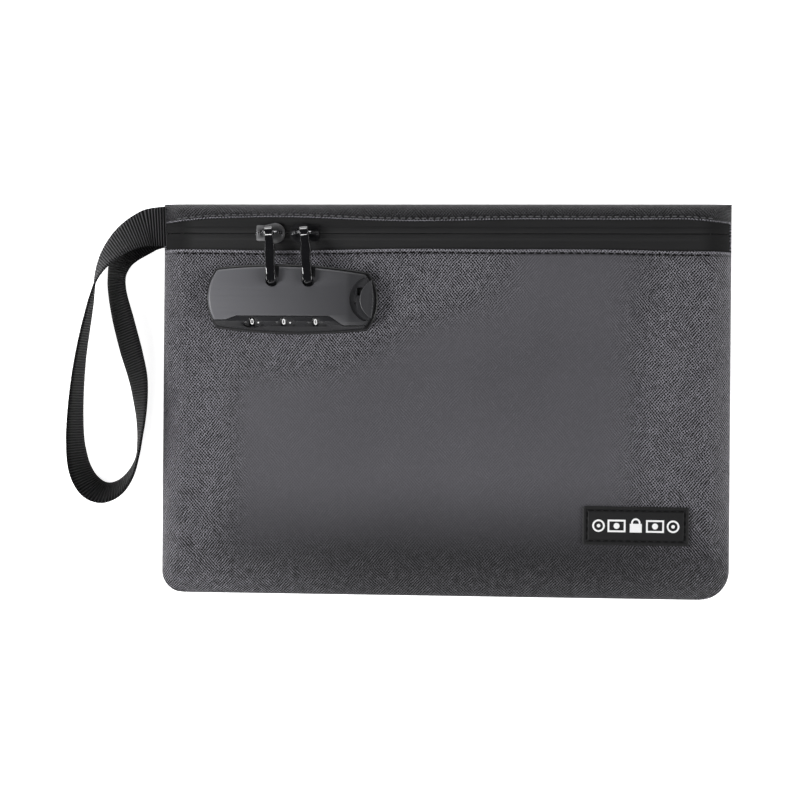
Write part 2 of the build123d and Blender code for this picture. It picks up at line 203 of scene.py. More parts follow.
class Shader:
    """One material's node tree, with its Principled shader."""

    def __init__(self, name, base, roughness, metallic=0.0, **fixed):
        self.material = bpy.data.materials.new(name)
        self.material.use_nodes = True
        self.tree = self.material.node_tree
        self.bsdf = self.tree.nodes["Principled BSDF"]
        self.bsdf.inputs["Base Color"].default_value = (*base, 1.0)
        self.bsdf.inputs["Roughness"].default_value = roughness
        self.bsdf.inputs["Metallic"].default_value = metallic
        for label, value in fixed.items():
            self.bsdf.inputs[label.replace("_", " ")].default_value = value

    def add(self, kind, settings=None, inputs=()):
        """Adds a node, sets it up, then gives its sockets values or links, by place or by name."""
        node = self.tree.nodes.new(kind)
        for label, value in (settings or {}).items():
            if label == "stops":
                self.set_stops(node.color_ramp, value)
            else:
                setattr(node, label, value)
        pairs = inputs.items() if isinstance(inputs, dict) else enumerate(inputs)
        for key, value in pairs:
            if isinstance(value, Sock):
                self.tree.links.new(value.socket, node.inputs[key])
            elif value is not None:
                node.inputs[key].default_value = value
        return node

    def set_stops(self, ramp, stops):
        """Gives a colour ramp its stops, as (place, grey or colour)."""
        while len(ramp.elements) < len(stops):
            ramp.elements.new(0.5)
        for element, (place, value) in zip(ramp.elements, stops):
            element.position = place
            element.color = (value, value, value, 1.0) if isinstance(value, float) else (*value, 1.0)

    def out(self, node, key=0):
        return Sock(self, node.outputs[key])

    def coords(self, kind="Object"):
        return self.out(self.add("ShaderNodeTexCoord"), kind)

    def split(self, vector):
        node = self.add("ShaderNodeSeparateXYZ", inputs=[vector])
        return [self.out(node, n) for n in range(3)]

    def noise(self, vector, scale, detail=3.0, rough=0.5):
        node = self.add("ShaderNodeTexNoise", inputs={"Vector": vector, "Scale": scale, "Detail": detail,
                                                      "Roughness": rough})
        return self.out(node, "Fac")

    def attribute(self, name):
        """A number that the mesh carries at each vertex."""
        return self.out(self.add("ShaderNodeAttribute", {"attribute_name": name}), "Fac")

    def wave(self, phase):
        """A smooth wave from 0 to 1, once for each whole number of phase."""
        return (phase * math.tau).maths("COSINE") * 0.5 + 0.5

    def ramp(self, value, stops):
        return self.out(self.add("ShaderNodeValToRGB", {"stops": stops}, [value]), "Color")

    def mix(self, factor, a, b):
        """A blend of two colours."""
        node = self.add("ShaderNodeMix", {"data_type": "RGBA"}, {0: factor})
        for key, value in ((6, a), (7, b)):
            if isinstance(value, Sock):
                self.tree.links.new(value.socket, node.inputs[key])
            else:
                node.inputs[key].default_value = (*value, 1.0)
        return self.out(node, 2)

    def set(self, label, value):
        self.tree.links.new(value.socket, self.bsdf.inputs[label])

    def bump(self, height, distance, strength=1.0):
        """Raises the surface by height times distance, in metres."""
        inputs = {"Strength": strength, "Distance": distance, "Height": height}
        node = self.add("ShaderNodeBump", inputs=inputs)
        self.set("Normal", self.out(node, "Normal"))


def scaled(colour_value, factor):
    """A colour made lighter or darker."""
    return tuple(min(1.0, part * factor) for part in colour_value)


def leather_material():
    """Cross-hatched coated leather: its ridges are painted lighter as painted highlights, as strongly as the
    mesh says, and the mesh also carries painted light and shade.
    """
    look = settings("bag_leather")
    shader = Shader("cross_hatched_leather", look.tint, 0.5, Specular_IOR_Level=0.22)
    cut = shader.coords("UV")
    across, along, _ = shader.split(cut)
    slow_wander = (shader.noise(cut, 90.0, 2.0) - 0.5) * (1.2 * MM)
    wander = slow_wander + (shader.noise(cut, 520.0, 1.0) - 0.5) * (0.9 * MM)
    lean, rise_part = math.sin(HATCH_ANGLE), math.cos(HATCH_ANGLE)
    ridge_one = shader.wave((across * lean + along * rise_part + wander) / look.hatch) ** 3.6
    ridge_two = shader.wave((across * lean - along * rise_part + wander) / look.hatch) ** 3.6
    patches = shader.ramp(shader.noise(cut, 75.0, 2.0), [(0.38, 0.0), (0.62, 1.0)])
    broken = shader.noise(cut, 330.0, 2.0) * 1.3 + 0.35
    strong_one = ridge_one * (1 - patches * 0.5)
    strong_two = ridge_two * (0.5 + patches * 0.5)
    hatch = strong_one.maths("MAXIMUM", strong_two) * broken
    crisp = shader.attribute("crisp")
    pores = shader.noise(cut, 1500.0, 2.0)
    cloud = shader.noise(shader.coords("Object"), 14.0, 3.0) - 0.5
    # Painted highlights: the ridges are painted lighter than the valleys where the mesh asks for strong
    # ridges; the mesh's painted light and shade then multiply the result.
    shade = (hatch - 0.37) * crisp * look.contrast + (pores - 0.5) * crisp * 0.5 + cloud * 0.12 + 0.3
    shade = shade * shader.attribute("tone")
    shader.set("Base Color", shader.mix(shade, (0.004, 0.004, 0.0045), scaled(look.tint, 3.3)))
    shader.set("Roughness", 0.52 - hatch * crisp * 0.16 + cloud * 0.1)
    shader.bump(hatch * crisp + pores * 0.2 + hatch * 0.12, 0.45 * MM, 0.9)
    return shader.material


def lining_material():
    """Plain woven lining cloth."""
    shader = Shader("lining_cloth", (0.03, 0.03, 0.032), 0.8, Sheen_Weight=0.2)
    x, y, _ = shader.split(shader.coords())
    weave = shader.wave(x / (0.5 * MM)) * 0.5 + shader.wave(y / (0.5 * MM)) * 0.5
    shader.set("Base Color", shader.mix(weave, (0.02, 0.02, 0.021), (0.04, 0.04, 0.042)))
    shader.bump(weave, 0.05 * MM)
    return shader.material


def tape_material():
    """Rubbery coating over zip tape, with fine lengthwise drawn lines and painted shade darkening both ends.
    """
    look = settings("bag_zip")
    shader = Shader("coated_tape", look.tint, 0.5, Specular_IOR_Level=0.3)
    x, y, z = shader.split(shader.coords())
    lines = shader.add("ShaderNodeCombineXYZ", inputs=[x * 0.02, y, z * 0.2])
    streak = shader.noise(shader.out(lines), 2600.0, 2.0)
    patch = shader.noise(shader.coords(), 60.0, 3.0)
    # Painted shade: ends darkens both ends of the tape, where it slopes down, and also roughens them.
    ends = shader.ramp(abs(x) / HALF_W, [(0.88, 0.0), (0.93, 1.0)])
    shader.set("Base Color", shader.mix(streak - ends, scaled(look.tint, 0.6), scaled(look.tint, 1.4)))
    shader.set("Roughness", 0.44 + streak * 0.12 + patch * 0.12 + ends * 0.35)
    shader.bump(streak * 0.6 + patch * 0.4, 0.05 * MM)
    return shader.material


def coil_material():
    """Nylon coil teeth."""
    shader = Shader("nylon_coil", (0.012, 0.012, 0.013), 0.45)
    x, y, _ = shader.split(shader.coords())
    teeth = shader.wave((x + y * 0.25) / (1.4 * MM))
    shader.set("Roughness", 0.6 - teeth * 0.25)
    shader.bump(teeth, 0.4 * MM)
    return shader.material


def plastic_material(name, tint, rough, grain=0.02, coat=0.0):
    """Moulded plastic with a very fine spark grain and a little unevenness."""
    shader = Shader(name, tint, rough, Specular_IOR_Level=0.5, Coat_Weight=coat, Coat_Roughness=0.2)
    fine = shader.noise(shader.coords(), 5200.0, 2.0)
    broad = shader.noise(shader.coords(), 45.0, 3.0)
    shader.set("Base Color", shader.mix(fine * 0.5 + broad * 0.5, scaled(tint, 0.9), scaled(tint, 1.1)))
    shader.set("Roughness", rough - 0.04 + broad * 0.08)
    shader.bump(fine, grain * MM)
    return shader.material


def metal_material(name, tint, rough, metallic=1.0, coat=0.0, wear=0.3):
    """Cast or rolled metal, with faint wear in its gloss."""
    shader = Shader(name, tint, rough, metallic, Coat_Weight=coat, Coat_Roughness=0.06)
    rub = shader.noise(shader.coords(), 380.0, 4.0)
    broad = shader.noise(shader.coords(), 90.0, 2.0)
    shader.set("Base Color", shader.mix(rub, scaled(tint, 0.8), scaled(tint, 1.2 + wear)))
    shader.set("Roughness", rough * 0.75 + rub * rough * 0.3 + broad * rough * 0.25)
    shader.bump(rub, 0.008 * MM)
    return shader.material


def rubber_material(name, tint, rough=0.55):
    """Soft moulded rubber with a matt speckle."""
    shader = Shader(name, tint, rough, Specular_IOR_Level=0.28)
    speck = shader.noise(shader.coords(), 3200.0, 3.0)
    broad = shader.noise(shader.coords(), 120.0, 2.0)
    shader.set("Base Color", shader.mix(speck * 0.6 + broad * 0.4, scaled(tint, 0.75), scaled(tint, 1.3)))
    shader.set("Roughness", rough - 0.08 + speck * 0.12)
    shader.bump(speck, 0.04 * MM)
    return shader.material


def thread_material(name, tint):
    """Twisted sewing thread."""
    shader = Shader(name, tint, 0.6, Specular_IOR_Level=0.15)
    x, y, z = shader.split(shader.coords())
    ply = shader.wave((x + y + z * 1.5) / (0.42 * MM))
    shader.set("Base Color", shader.mix(ply, scaled(tint, 0.6), scaled(tint, 1.25)))
    shader.bump(ply, 0.06 * MM)
    return shader.material


def webbing_material():
    """Ribbed webbing: yarn bundles across, the ribs painted lighter than the gaps between them as painted
    highlights and painted shade, strongly near the seam and darker further along.
    """
    look = settings("bag_strap")
    shader = Shader("ribbed_webbing", look.tint, 0.62, Specular_IOR_Level=0.09, Sheen_Weight=0.02,
                    Sheen_Roughness=0.4)
    along, across, _ = shader.split(shader.coords("UV"))
    rib = shader.wave(along / look.rib) ** 2.2
    yarn = shader.wave(across / (0.62 * MM) + along / look.rib * 0.5)
    fuzz = shader.noise(shader.coords("UV"), 3800.0, 3.0)
    weave = yarn * 0.15 + fuzz * 0.15 + rib * 0.75
    # Painted light and shade: the ribs are painted lighter and the gaps darker, strongly near the seam;
    # further along the strap is painted darker and flatter.
    painted_light_near_seam = shader.ramp(along / STRAP_RUN, [(0.14, 1.0), (0.26, 0.3)])
    painted_rib_light = (weave * 1.5 - 0.35) * painted_light_near_seam
    shader.set("Base Color", shader.mix(painted_rib_light, scaled(look.tint, 0.02), scaled(look.tint, 8.5)))
    shader.set("Roughness", 0.68 - rib * 0.14 + fuzz * 0.1)
    shader.bump(weave, 0.4 * MM)
    return shader.material


def paint_material():
    """White pad-printed paint."""
    shader = Shader("white_paint", (0.86, 0.86, 0.86), 0.45)
    speck = shader.noise(shader.coords(), 1800.0, 2.0)
    shader.set("Base Color", shader.mix(speck, (0.78, 0.78, 0.78), (0.9, 0.9, 0.9)))
    shader.bump(speck, 0.01 * MM)
    return shader.material


def floor_material():
    """Plain pale studio floor, lit from beneath like a light table."""
    shader = Shader("pale_floor", (0.93, 0.93, 0.93), 0.9, Specular_IOR_Level=0.1,
                    Emission_Color=(1, 1, 1, 1), Emission_Strength=0.9)
    return shader.material


def cover_material():
    """Satin lock plastic, with painted light: lighter towards the left end, darker to the right, and almost
    black over the last stretch at the right end.
    """
    look = settings("bag_lock")
    shader = Shader("lock_shell", look.shell, 0.38, Specular_IOR_Level=0.4)
    x, _, _ = shader.split(shader.coords())
    low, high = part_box("lock_cover")
    # Painted light: the colour runs from light at the left end to dark towards the right, then almost black
    # over the last stretch.
    stops = [(0.0, 1.0), (0.83, 0.22), (0.86, 0.03), (1.0, 0.03)]
    across = shader.ramp((x - low[0]) / (high[0] - low[0]), stops)
    fine = shader.noise(shader.coords(), 5200.0, 2.0)
    tone = across * 0.85 + fine * 0.15
    shader.set("Base Color", shader.mix(tone, scaled(look.shell, 0.25), scaled(look.shell, 1.5)))
    shader.set("Roughness", 0.34 + fine * 0.08)
    shader.bump(fine, 0.02 * MM)
    return shader.material


MATERIALS = {}


def material(name):
    """A material by name, made the first time it is asked for."""
    lock = settings("bag_lock")
    makers = {
        "leather": leather_material,
        "lining": lining_material,
        "tape": tape_material,
        "coil": coil_material,
        "cover": cover_material,
        "dark": lambda: plastic_material("dark_plastic", (0.012, 0.012, 0.013), 0.32),
        "slider_grey": lambda: metal_material("slider_grey", (0.22, 0.22, 0.225), 0.34, 0.7),
        "slider_black": lambda: metal_material("slider_black", (0.02, 0.02, 0.022), 0.3, 0.6, 0.3),
        # The top of each slider's bridge is given this brighter metal as a painted highlight.
        "bridge": lambda: metal_material("bridge_painted_highlight", (0.3, 0.3, 0.31), 0.24),
        "gloss": lambda: metal_material("gloss_black", lock.gloss, 0.16, 0.0, 1.0, 0.0),
        "black_steel": lambda: metal_material("black_steel", (0.02, 0.02, 0.021), 0.4, 0.7, 0.0, 0.1),
        "steel": lambda: metal_material("plain_steel", (0.5, 0.5, 0.51), 0.3),
        "rubber": lambda: rubber_material("patch_rubber", settings("bag_patch").tint),
        "dark_thread": lambda: thread_material("dark_thread", (0.002, 0.002, 0.0022)),
        "grey_thread": lambda: thread_material("grey_thread", (0.1, 0.1, 0.105)),
        "bezel": lambda: plastic_material("bezel_plastic", (0.02, 0.02, 0.022), 0.27),
        "webbing": webbing_material,
        "paint": paint_material,
        "floor": floor_material,
    }
    if name not in MATERIALS:
        MATERIALS[name] = makers[name]()
    return MATERIALS[name]


# ---- mesh helpers ---------------------------------------------------------------------------

def deselect():
    """Clears the selection, which the loaded frame leaves full."""
    bpy.ops.object.select_all(action="DESELECT")


def take(piece):
    """Makes a piece the only selected and active one."""
    deselect()
    piece.select_set(True)
    bpy.context.view_layer.objects.active = piece


def modify(piece, kind, **values):
    """Adds a modifier, sets it up and applies it."""
    take(piece)
    modifier = piece.modifiers.new(kind.lower(), kind)
    for label, value in values.items():
        setattr(modifier, label, value)
    bpy.ops.object.modifier_apply(modifier=modifier.name)


def settle(piece):
    """Puts a piece's place, turn and size into its mesh."""
    take(piece)
    bpy.ops.object.transform_apply(location=True, rotation=True, scale=True)


def smooth(piece, degrees=35):
    """Smooth shading that keeps sharp edges."""
    take(piece)
    bpy.ops.object.shade_smooth_by_angle(angle=math.radians(degrees))


def finish_piece(piece, name, body, look, slot=None, replaces=()):
    """Names a piece, gives it its material and body, and hides the nodes that it stands for; slot is not
    used.
    """
    piece.name = name
    piece.data.name = name
    piece.data.materials.clear()
    piece.data.materials.append(material(look))
    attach(piece, body)
    if replaces:
        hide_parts(*replaces)
    return piece


def paint_node(node, look):
    """Gives a node that is shown as it was packed its material."""
    node_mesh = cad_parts[node].data
    node_mesh.materials.clear()
    node_mesh.materials.append(material(look))


def join(pieces):
    """Makes several pieces into one."""
    deselect()
    for piece in pieces:
        piece.select_set(True)
    bpy.context.view_layer.objects.active = pieces[0]
    bpy.ops.object.join()
    return bpy.context.view_layer.objects.active


def grid_piece(columns, rows, place, marks=None):
    """A grid whose corner (column, row) lies at place(column, row), with its cut size as its UV map.

    marks gives each corner the painted light and shade and the strength of the ridges that the leather's look
    reads."""
    deselect()
    bpy.ops.mesh.primitive_grid_add(x_subdivisions=columns, y_subdivisions=rows, size=2)
    piece = bpy.context.active_object
    mesh = piece.data
    cells = {}
    for vertex in mesh.vertices:
        column = round((vertex.co.x + 1) / 2 * columns)
        row = round((vertex.co.y + 1) / 2 * rows)
        cells[vertex.index] = (column, row)
        vertex.co = place(column, row)
    at = {cell: mesh.vertices[index].co.copy() for index, cell in cells.items()}
    across, along = {}, {}
    for row in range(rows + 1):
        run = -sum((at[(c, row)] - at[(c - 1, row)]).length for c in range(1, columns // 2 + 1))
        across[(0, row)] = run
        for column in range(1, columns + 1):
            run += (at[(column, row)] - at[(column - 1, row)]).length
            across[(column, row)] = run
    for column in range(columns + 1):
        run = 0.0
        along[(column, 0)] = run
        for row in range(1, rows + 1):
            run += (at[(column, row)] - at[(column, row - 1)]).length
            along[(column, row)] = run
    layer = mesh.uv_layers.active or mesh.uv_layers.new(name="cut")
    for loop in mesh.loops:
        cell = cells[loop.vertex_index]
        layer.data[loop.index].uv = (across[cell], along[cell])
    if marks:
        layers = [mesh.attributes.new(name, "FLOAT", "POINT") for name in ("tone", "crisp")]
        for index, cell in cells.items():
            for layer, value in zip(layers, marks(at[cell], cell[1])):
                layer.data[index].value = value
    return piece


def refined(node, width, segments=2, angle=32):
    """A copy of a CAD node with its loose triangles merged and its edges rounded."""
    deselect()
    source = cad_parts[node]
    piece = bpy.data.objects.new(node + "_looks", source.data.copy())
    bpy.context.scene.collection.objects.link(piece)
    take(piece)
    bpy.ops.object.mode_set(mode="EDIT")
    bpy.ops.mesh.select_all(action="SELECT")
    bpy.ops.mesh.remove_doubles(threshold=0.001 * MM)
    bpy.ops.mesh.dissolve_limited(angle_limit=math.radians(0.6))
    bpy.ops.object.mode_set(mode="OBJECT")
    modify(piece, "BEVEL", width=width, segments=segments, limit_method="ANGLE",
           angle_limit=math.radians(angle), use_clamp_overlap=True)
    smooth(piece, 40)
    return piece


# ---- the leather's shape --------------------------------------------------------------------

def rise(part):
    """How far the leather has risen, from 0 at a seam to 1 on the flat."""
    part = max(0.0, min(1.0, part))
    return math.sin(part * math.pi / 2) ** 0.72


def half_width(y, side):
    """The bag's half width at y, which its rounded lower corners draw in."""
    look = settings("bag_leather")
    radius = look.left_corner if side < 0 else look.right_corner
    into = radius - (y + EDGE_Y)
    if into <= 0:
        return HALF_W
    return HALF_W - radius + math.sqrt(max(0.0, radius * radius - into * into))


def bulge(x, y):
    """The slack swell of the front, which dies out before the lock and the zip."""
    look = settings("bag_leather")
    reach = ((x - 14 * MM) / (128 * MM)) ** 2 + ((y + 22 * MM) / (62 * MM)) ** 2
    swell = max(0.0, 1 - reach) ** 1.5 * look.belly
    ripple = math.sin(x * 31 + 1.0) * math.sin(y * 47 + x * 17) * 0.35 * MM
    return swell + ripple * min(1.0, max(0.0, 1 - reach) * 1.4)


def side_rise(x, y):
    """Rise from the nearer side seam."""
    look = settings("bag_leather")
    return rise((half_width(y, x) - abs(x)) / look.side_run)


def front_height(x, y):
    """Height of the front leather's outer face."""
    look = settings("bag_leather")
    up = side_rise(x, y) * rise((y + EDGE_Y) / look.bottom_run)
    return SEAM_Z + (FRONT_Z - SEAM_Z) * up + bulge(x, y)


def front_shell():
    """The front leather: rises from the seams, swells, and is turned under below the zip."""
    look = settings("bag_leather")
    zip_look = settings("bag_zip")
    fold = 0.75 * MM
    seam_stitch = PANEL_TOP_Y - 2.0 * MM
    ys = graded(-EDGE_Y, PANEL_TOP_Y - 5 * MM, 92, 0.35)
    ys += [PANEL_TOP_Y - 5 * MM + (5 * MM - fold) * n / 14 for n in range(1, 15)]
    turns = 5
    columns = 216
    xs = graded_both(columns)

    def place(column, row):
        part = xs[column]
        if row < len(ys):
            y, drop = ys[row], 0.0
        else:
            angle = math.pi / 2 * (row - len(ys) + 1) / turns
            y = PANEL_TOP_Y - fold + fold * math.sin(angle)
            drop = fold * (1 - math.cos(angle))
        x = part * half_width(y, part)
        pull = math.exp(-((y - seam_stitch) / (0.55 * MM)) ** 2)
        beat = 0.5 + 0.5 * math.cos(math.tau * x / zip_look.stitch_pitch)
        hem = 0.25 * MM * smoothstep((y - seam_stitch + 1.2 * MM) / (1.6 * MM))
        z = front_height(x, y) - pull * (0.16 + 0.1 * beat) * MM + hem * side_rise(x, y) - drop
        wave = hem_wave(x) * smoothstep((y - 66 * MM) / (10 * MM))
        return Vector((x, y + wave, z))

    def marks(point, row):
        # Painted light and shade: the front's painted light, painted shade along the stitch line, and a
        # painted highlight along the turned hem edge and just below it, where the ridges are painted faint.
        above = ys[min(row, len(ys) - 1)] - seam_stitch
        groove = 0.85 * math.exp(-(above / (0.85 * MM)) ** 2)
        fold = 1.5 if len(ys) - 3 < row < len(ys) + 2 else 0.45 if row >= len(ys) - 5 else 0.0
        crisp = 0.2 if fold else crispness(point.x, point.y)
        return body_tone(point.x, point.y) * (1 - groove + fold), crisp

    piece = grid_piece(columns, len(ys) + turns - 1, place, marks)
    modify(piece, "SOLIDIFY", thickness=look.thickness, offset=-1.0, use_rim=True)
    smooth(piece, 60)
    return piece


def crispness(x, y):
    """How strongly the pressed lines show, as painted highlights on the ridges and as relief: strong near the
    sides, round the lock, at the upper left and along the bottom, and faint in the middle.
    """
    def fading(part):
        return (1 - smoothstep(part)) ** 1.6

    left = 0.95 * fading((HALF_W + x) / (56 * MM))
    right = 0.95 * fading((HALF_W - x) / (72 * MM)) * (1 - 0.4 * smoothstep((y - 25 * MM) / (40 * MM)))
    by_lock = fading((math.hypot((x + 88 * MM) / 1.5, y - 66 * MM) - 8 * MM) / (66 * MM))
    upper = 0.8 * fading((PANEL_TOP_Y - y) / (52 * MM)) * (1 - smoothstep((x + 25 * MM) / (75 * MM)))
    bottom = 0.42 * fading((y + EDGE_Y) / (40 * MM))
    faint_part = 1.0
    for part in (left, right, by_lock, upper, bottom):
        faint_part *= 1 - min(part, 0.97)
    return 0.03 + 1.25 * (1 - faint_part)


def body_tone(x, y):
    """Painted light and shade on the front: a little lighter at the upper left, where the light falls, and
    darker along the bottom, where the leather curves away from the light.
    """
    low = smoothstep((-y - 35 * MM) / (50 * MM)) * (0.5 + 0.24 * smoothstep((x + 120 * MM) / (90 * MM)))
    left = smoothstep((-x - 40 * MM) / (100 * MM))
    return 0.95 - low + 0.06 * left


def smoothstep(part):
    part = max(0.0, min(1.0, part))
    return part * part * (3 - 2 * part)


def hem_wave(x):
    """How far the lower hem strays from straight along the zip."""
    return 0.45 * MM * math.sin((x + 40 * MM) * 26) - 0.2 * MM * math.sin(x * 61)


def strip_wave(x):
    """How far the strip's hem strays: up by the sliders, down to their right and at both ends."""
    up = 0.9 * MM * math.exp(-((x + 86 * MM) / (38 * MM)) ** 2)
    down = 0.9 * MM * math.exp(-((x + 12 * MM) / (40 * MM)) ** 2)
    ends = 1.7 * MM * smoothstep((abs(x) - 118 * MM) / (27 * MM))
    return up - down - ends + 0.15 * MM * math.sin(x * 57)


def graded(low, high, count, ease):
    """Places from low to high that are closer together near low."""
    return [low + (high - low) * (n / count) ** (1 + ease) for n in range(count + 1)]


def graded_both(count):
    """Places from -1 to 1 that are closer together near both ends."""
    return [math.sin((2 * n / count - 1) * math.pi / 2 * 0.86) / math.sin(math.pi / 2 * 0.86)
            for n in range(count + 1)]


def back_profile():
    """The back leather's path in Y and Z: bottom seam, flat back, top fold, and the strip's hem."""
    nose = 6.5 * MM
    turn = 0.7 * MM
    nose_y = EDGE_Y - nose
    points = [(-EDGE_Y + 30 * MM * (n / 20) ** 1.5, n / 20) for n in range(21)]
    path = [(y, SEAM_Z * (1 - rise((y + EDGE_Y) / (14 * MM)))) for y, _ in points]
    path += [(-EDGE_Y + 30 * MM + (nose_y + EDGE_Y - 30 * MM) * n / 30, 0.0) for n in range(1, 31)]
    middle = FRONT_Z * 0.5
    for n in range(1, 25):
        angle = math.pi * n / 24
        path.append((nose_y + nose * math.sin(angle), middle - middle * math.cos(angle)))
    flat = nose_y - (STRIP_Y + turn)
    path += [(nose_y - flat * n / 5, FRONT_Z) for n in range(1, 6)]
    for n in range(1, 6):
        angle = math.pi / 2 * n / 5
        path.append((STRIP_Y + turn - turn * math.sin(angle), FRONT_Z - turn * (1 - math.cos(angle))))
    return path


def back_shell():
    """The back leather in one piece with the strip that it folds over to above the zip."""
    look = settings("bag_leather")
    path = back_profile()
    columns = 200
    xs = graded_both(columns)
    stitch_y = STRIP_Y + 1.7 * MM

    def place(column, row):
        y, z = path[row]
        part = xs[column]
        x = part * half_width(y, part)
        up = side_rise(x, max(y, 0.0)) if z > SEAM_Z else rise((half_width(y, part) - abs(x)) / (11 * MM))
        if z > SEAM_Z + 2 * MM and y < EDGE_Y - 3 * MM:
            share = smoothstep((EDGE_Y - 3 * MM - y) / (5 * MM))
            z -= 0.14 * MM * math.exp(-((y - stitch_y) / (0.5 * MM)) ** 2)
            y += strip_wave(x) * share
        return Vector((x, y, SEAM_Z + (z - SEAM_Z) * up))

    def marks(point, row):
        y, z = path[row]
        if z < SEAM_Z + 2 * MM:
            return 0.8, 0.9
        # Painted light and shade on the strip: painted shade along its stitch line, a painted highlight along
        # its hem edge, and the strip painted dark, a little lighter to the left.
        groove = 0.5 * math.exp(-((y - stitch_y) / (0.45 * MM)) ** 2)
        if len(path) - 7 < row < len(path) - 4:
            return 1.7, 0.15
        return 0.08 + 0.06 * smoothstep(-point.x / (140 * MM)) - groove * 0.15, 0.8

    piece = grid_piece(columns, len(path) - 1, place, marks)
    modify(piece, "SOLIDIFY", thickness=look.thickness, offset=1.0, use_rim=True)
    smooth(piece, 60)
    return piece


def tape_shell(low, high, slit_at):
    """One coated tape, raised a little over the coil beside the slit."""
    rows = 26
    columns = 160
    xs = graded_both(columns)
    ys = [low + (high - low) * n / rows for n in range(rows + 1)]

    def place(column, row):
        x = xs[column] * (HALF_W - 1.2 * MM)
        y = ys[row]
        near = abs(y - ZIP_Y)
        coil = 0.32 * MM * (1 - smoothstep((near - 2.4 * MM) / (1.2 * MM)))
        lip = -0.28 * MM * smoothstep(1 - abs(y - slit_at) / (0.5 * MM))
        droop = 0.25 * MM * math.sin(x * 23) * smoothstep((near - 3 * MM) / (4 * MM))
        up = 0.95 * side_rise(x, y)
        return Vector((x, y, SEAM_Z + (TAPE_Z - SEAM_Z) * up + (coil + lip + droop) * up))

    piece = grid_piece(columns, rows, place)
    modify(piece, "SOLIDIFY", thickness=0.6 * MM, offset=-1.0, use_rim=True)
    smooth(piece, 50)
    return piece


# ---- stitches -------------------------------------------------------------------------------

def stitch_seed(size, thickness):
    """One stitch: a rod with rounded ends that dives at both ends, along X at the origin."""
    deselect()
    bpy.ops.mesh.primitive_cylinder_add(vertices=8, radius=thickness / 2, depth=size,
                                        rotation=(0, math.pi / 2, 0))
    seed = bpy.context.active_object
    settle(seed)
    bpy.ops.object.mode_set(mode="EDIT")
    bpy.ops.mesh.select_all(action="SELECT")
    bpy.ops.mesh.bisect(plane_co=(0, 0, 0), plane_no=(1, 0, 0))
    bpy.ops.mesh.select_all(action="SELECT")
    bpy.ops.mesh.bisect(plane_co=(size * 0.33, 0, 0), plane_no=(1, 0, 0))
    bpy.ops.mesh.select_all(action="SELECT")
    bpy.ops.mesh.bisect(plane_co=(-size * 0.33, 0, 0), plane_no=(1, 0, 0))
    bpy.ops.object.mode_set(mode="OBJECT")
    for vertex in seed.data.vertices:
        share = abs(vertex.co.x) / (size / 2)
        vertex.co.z -= thickness * 0.75 * max(0.0, share - 0.55) / 0.45
        if share > 0.95:
            vertex.co.y *= 0.55
    return seed


def stitches(places, size, thickness):
    """A stitch at each place, given as a point and a direction."""
    seed = stitch_seed(size, thickness)
    copies = []
    for point, direction in places:
        copy = seed.copy()
        copy.data = seed.data.copy()
        bpy.context.scene.collection.objects.link(copy)
        turn = direction.to_track_quat("X", "Z").to_matrix().to_4x4()
        copy.data.transform(Matrix.Translation(point) @ turn)
        copies.append(copy)
    bpy.data.objects.remove(seed)
    piece = join(copies)
    smooth(piece, 60)
    return piece


def row_of_stitches(y_at, z_at, low, high, pitch):
    """Stitch places along X, over a surface."""
    count = int((high - low) / pitch)
    places = []
    for n in range(count):
        x = low + pitch * (n + 0.5)
        step = 0.5 * MM
        ahead = Vector((x + step, y_at(x + step), z_at(x + step)))
        behind = Vector((x - step, y_at(x - step), z_at(x - step)))
        places.append(((ahead + behind) / 2, (ahead - behind).normalized()))
    return places


# ---- operators ------------------------------------------------------------------------------

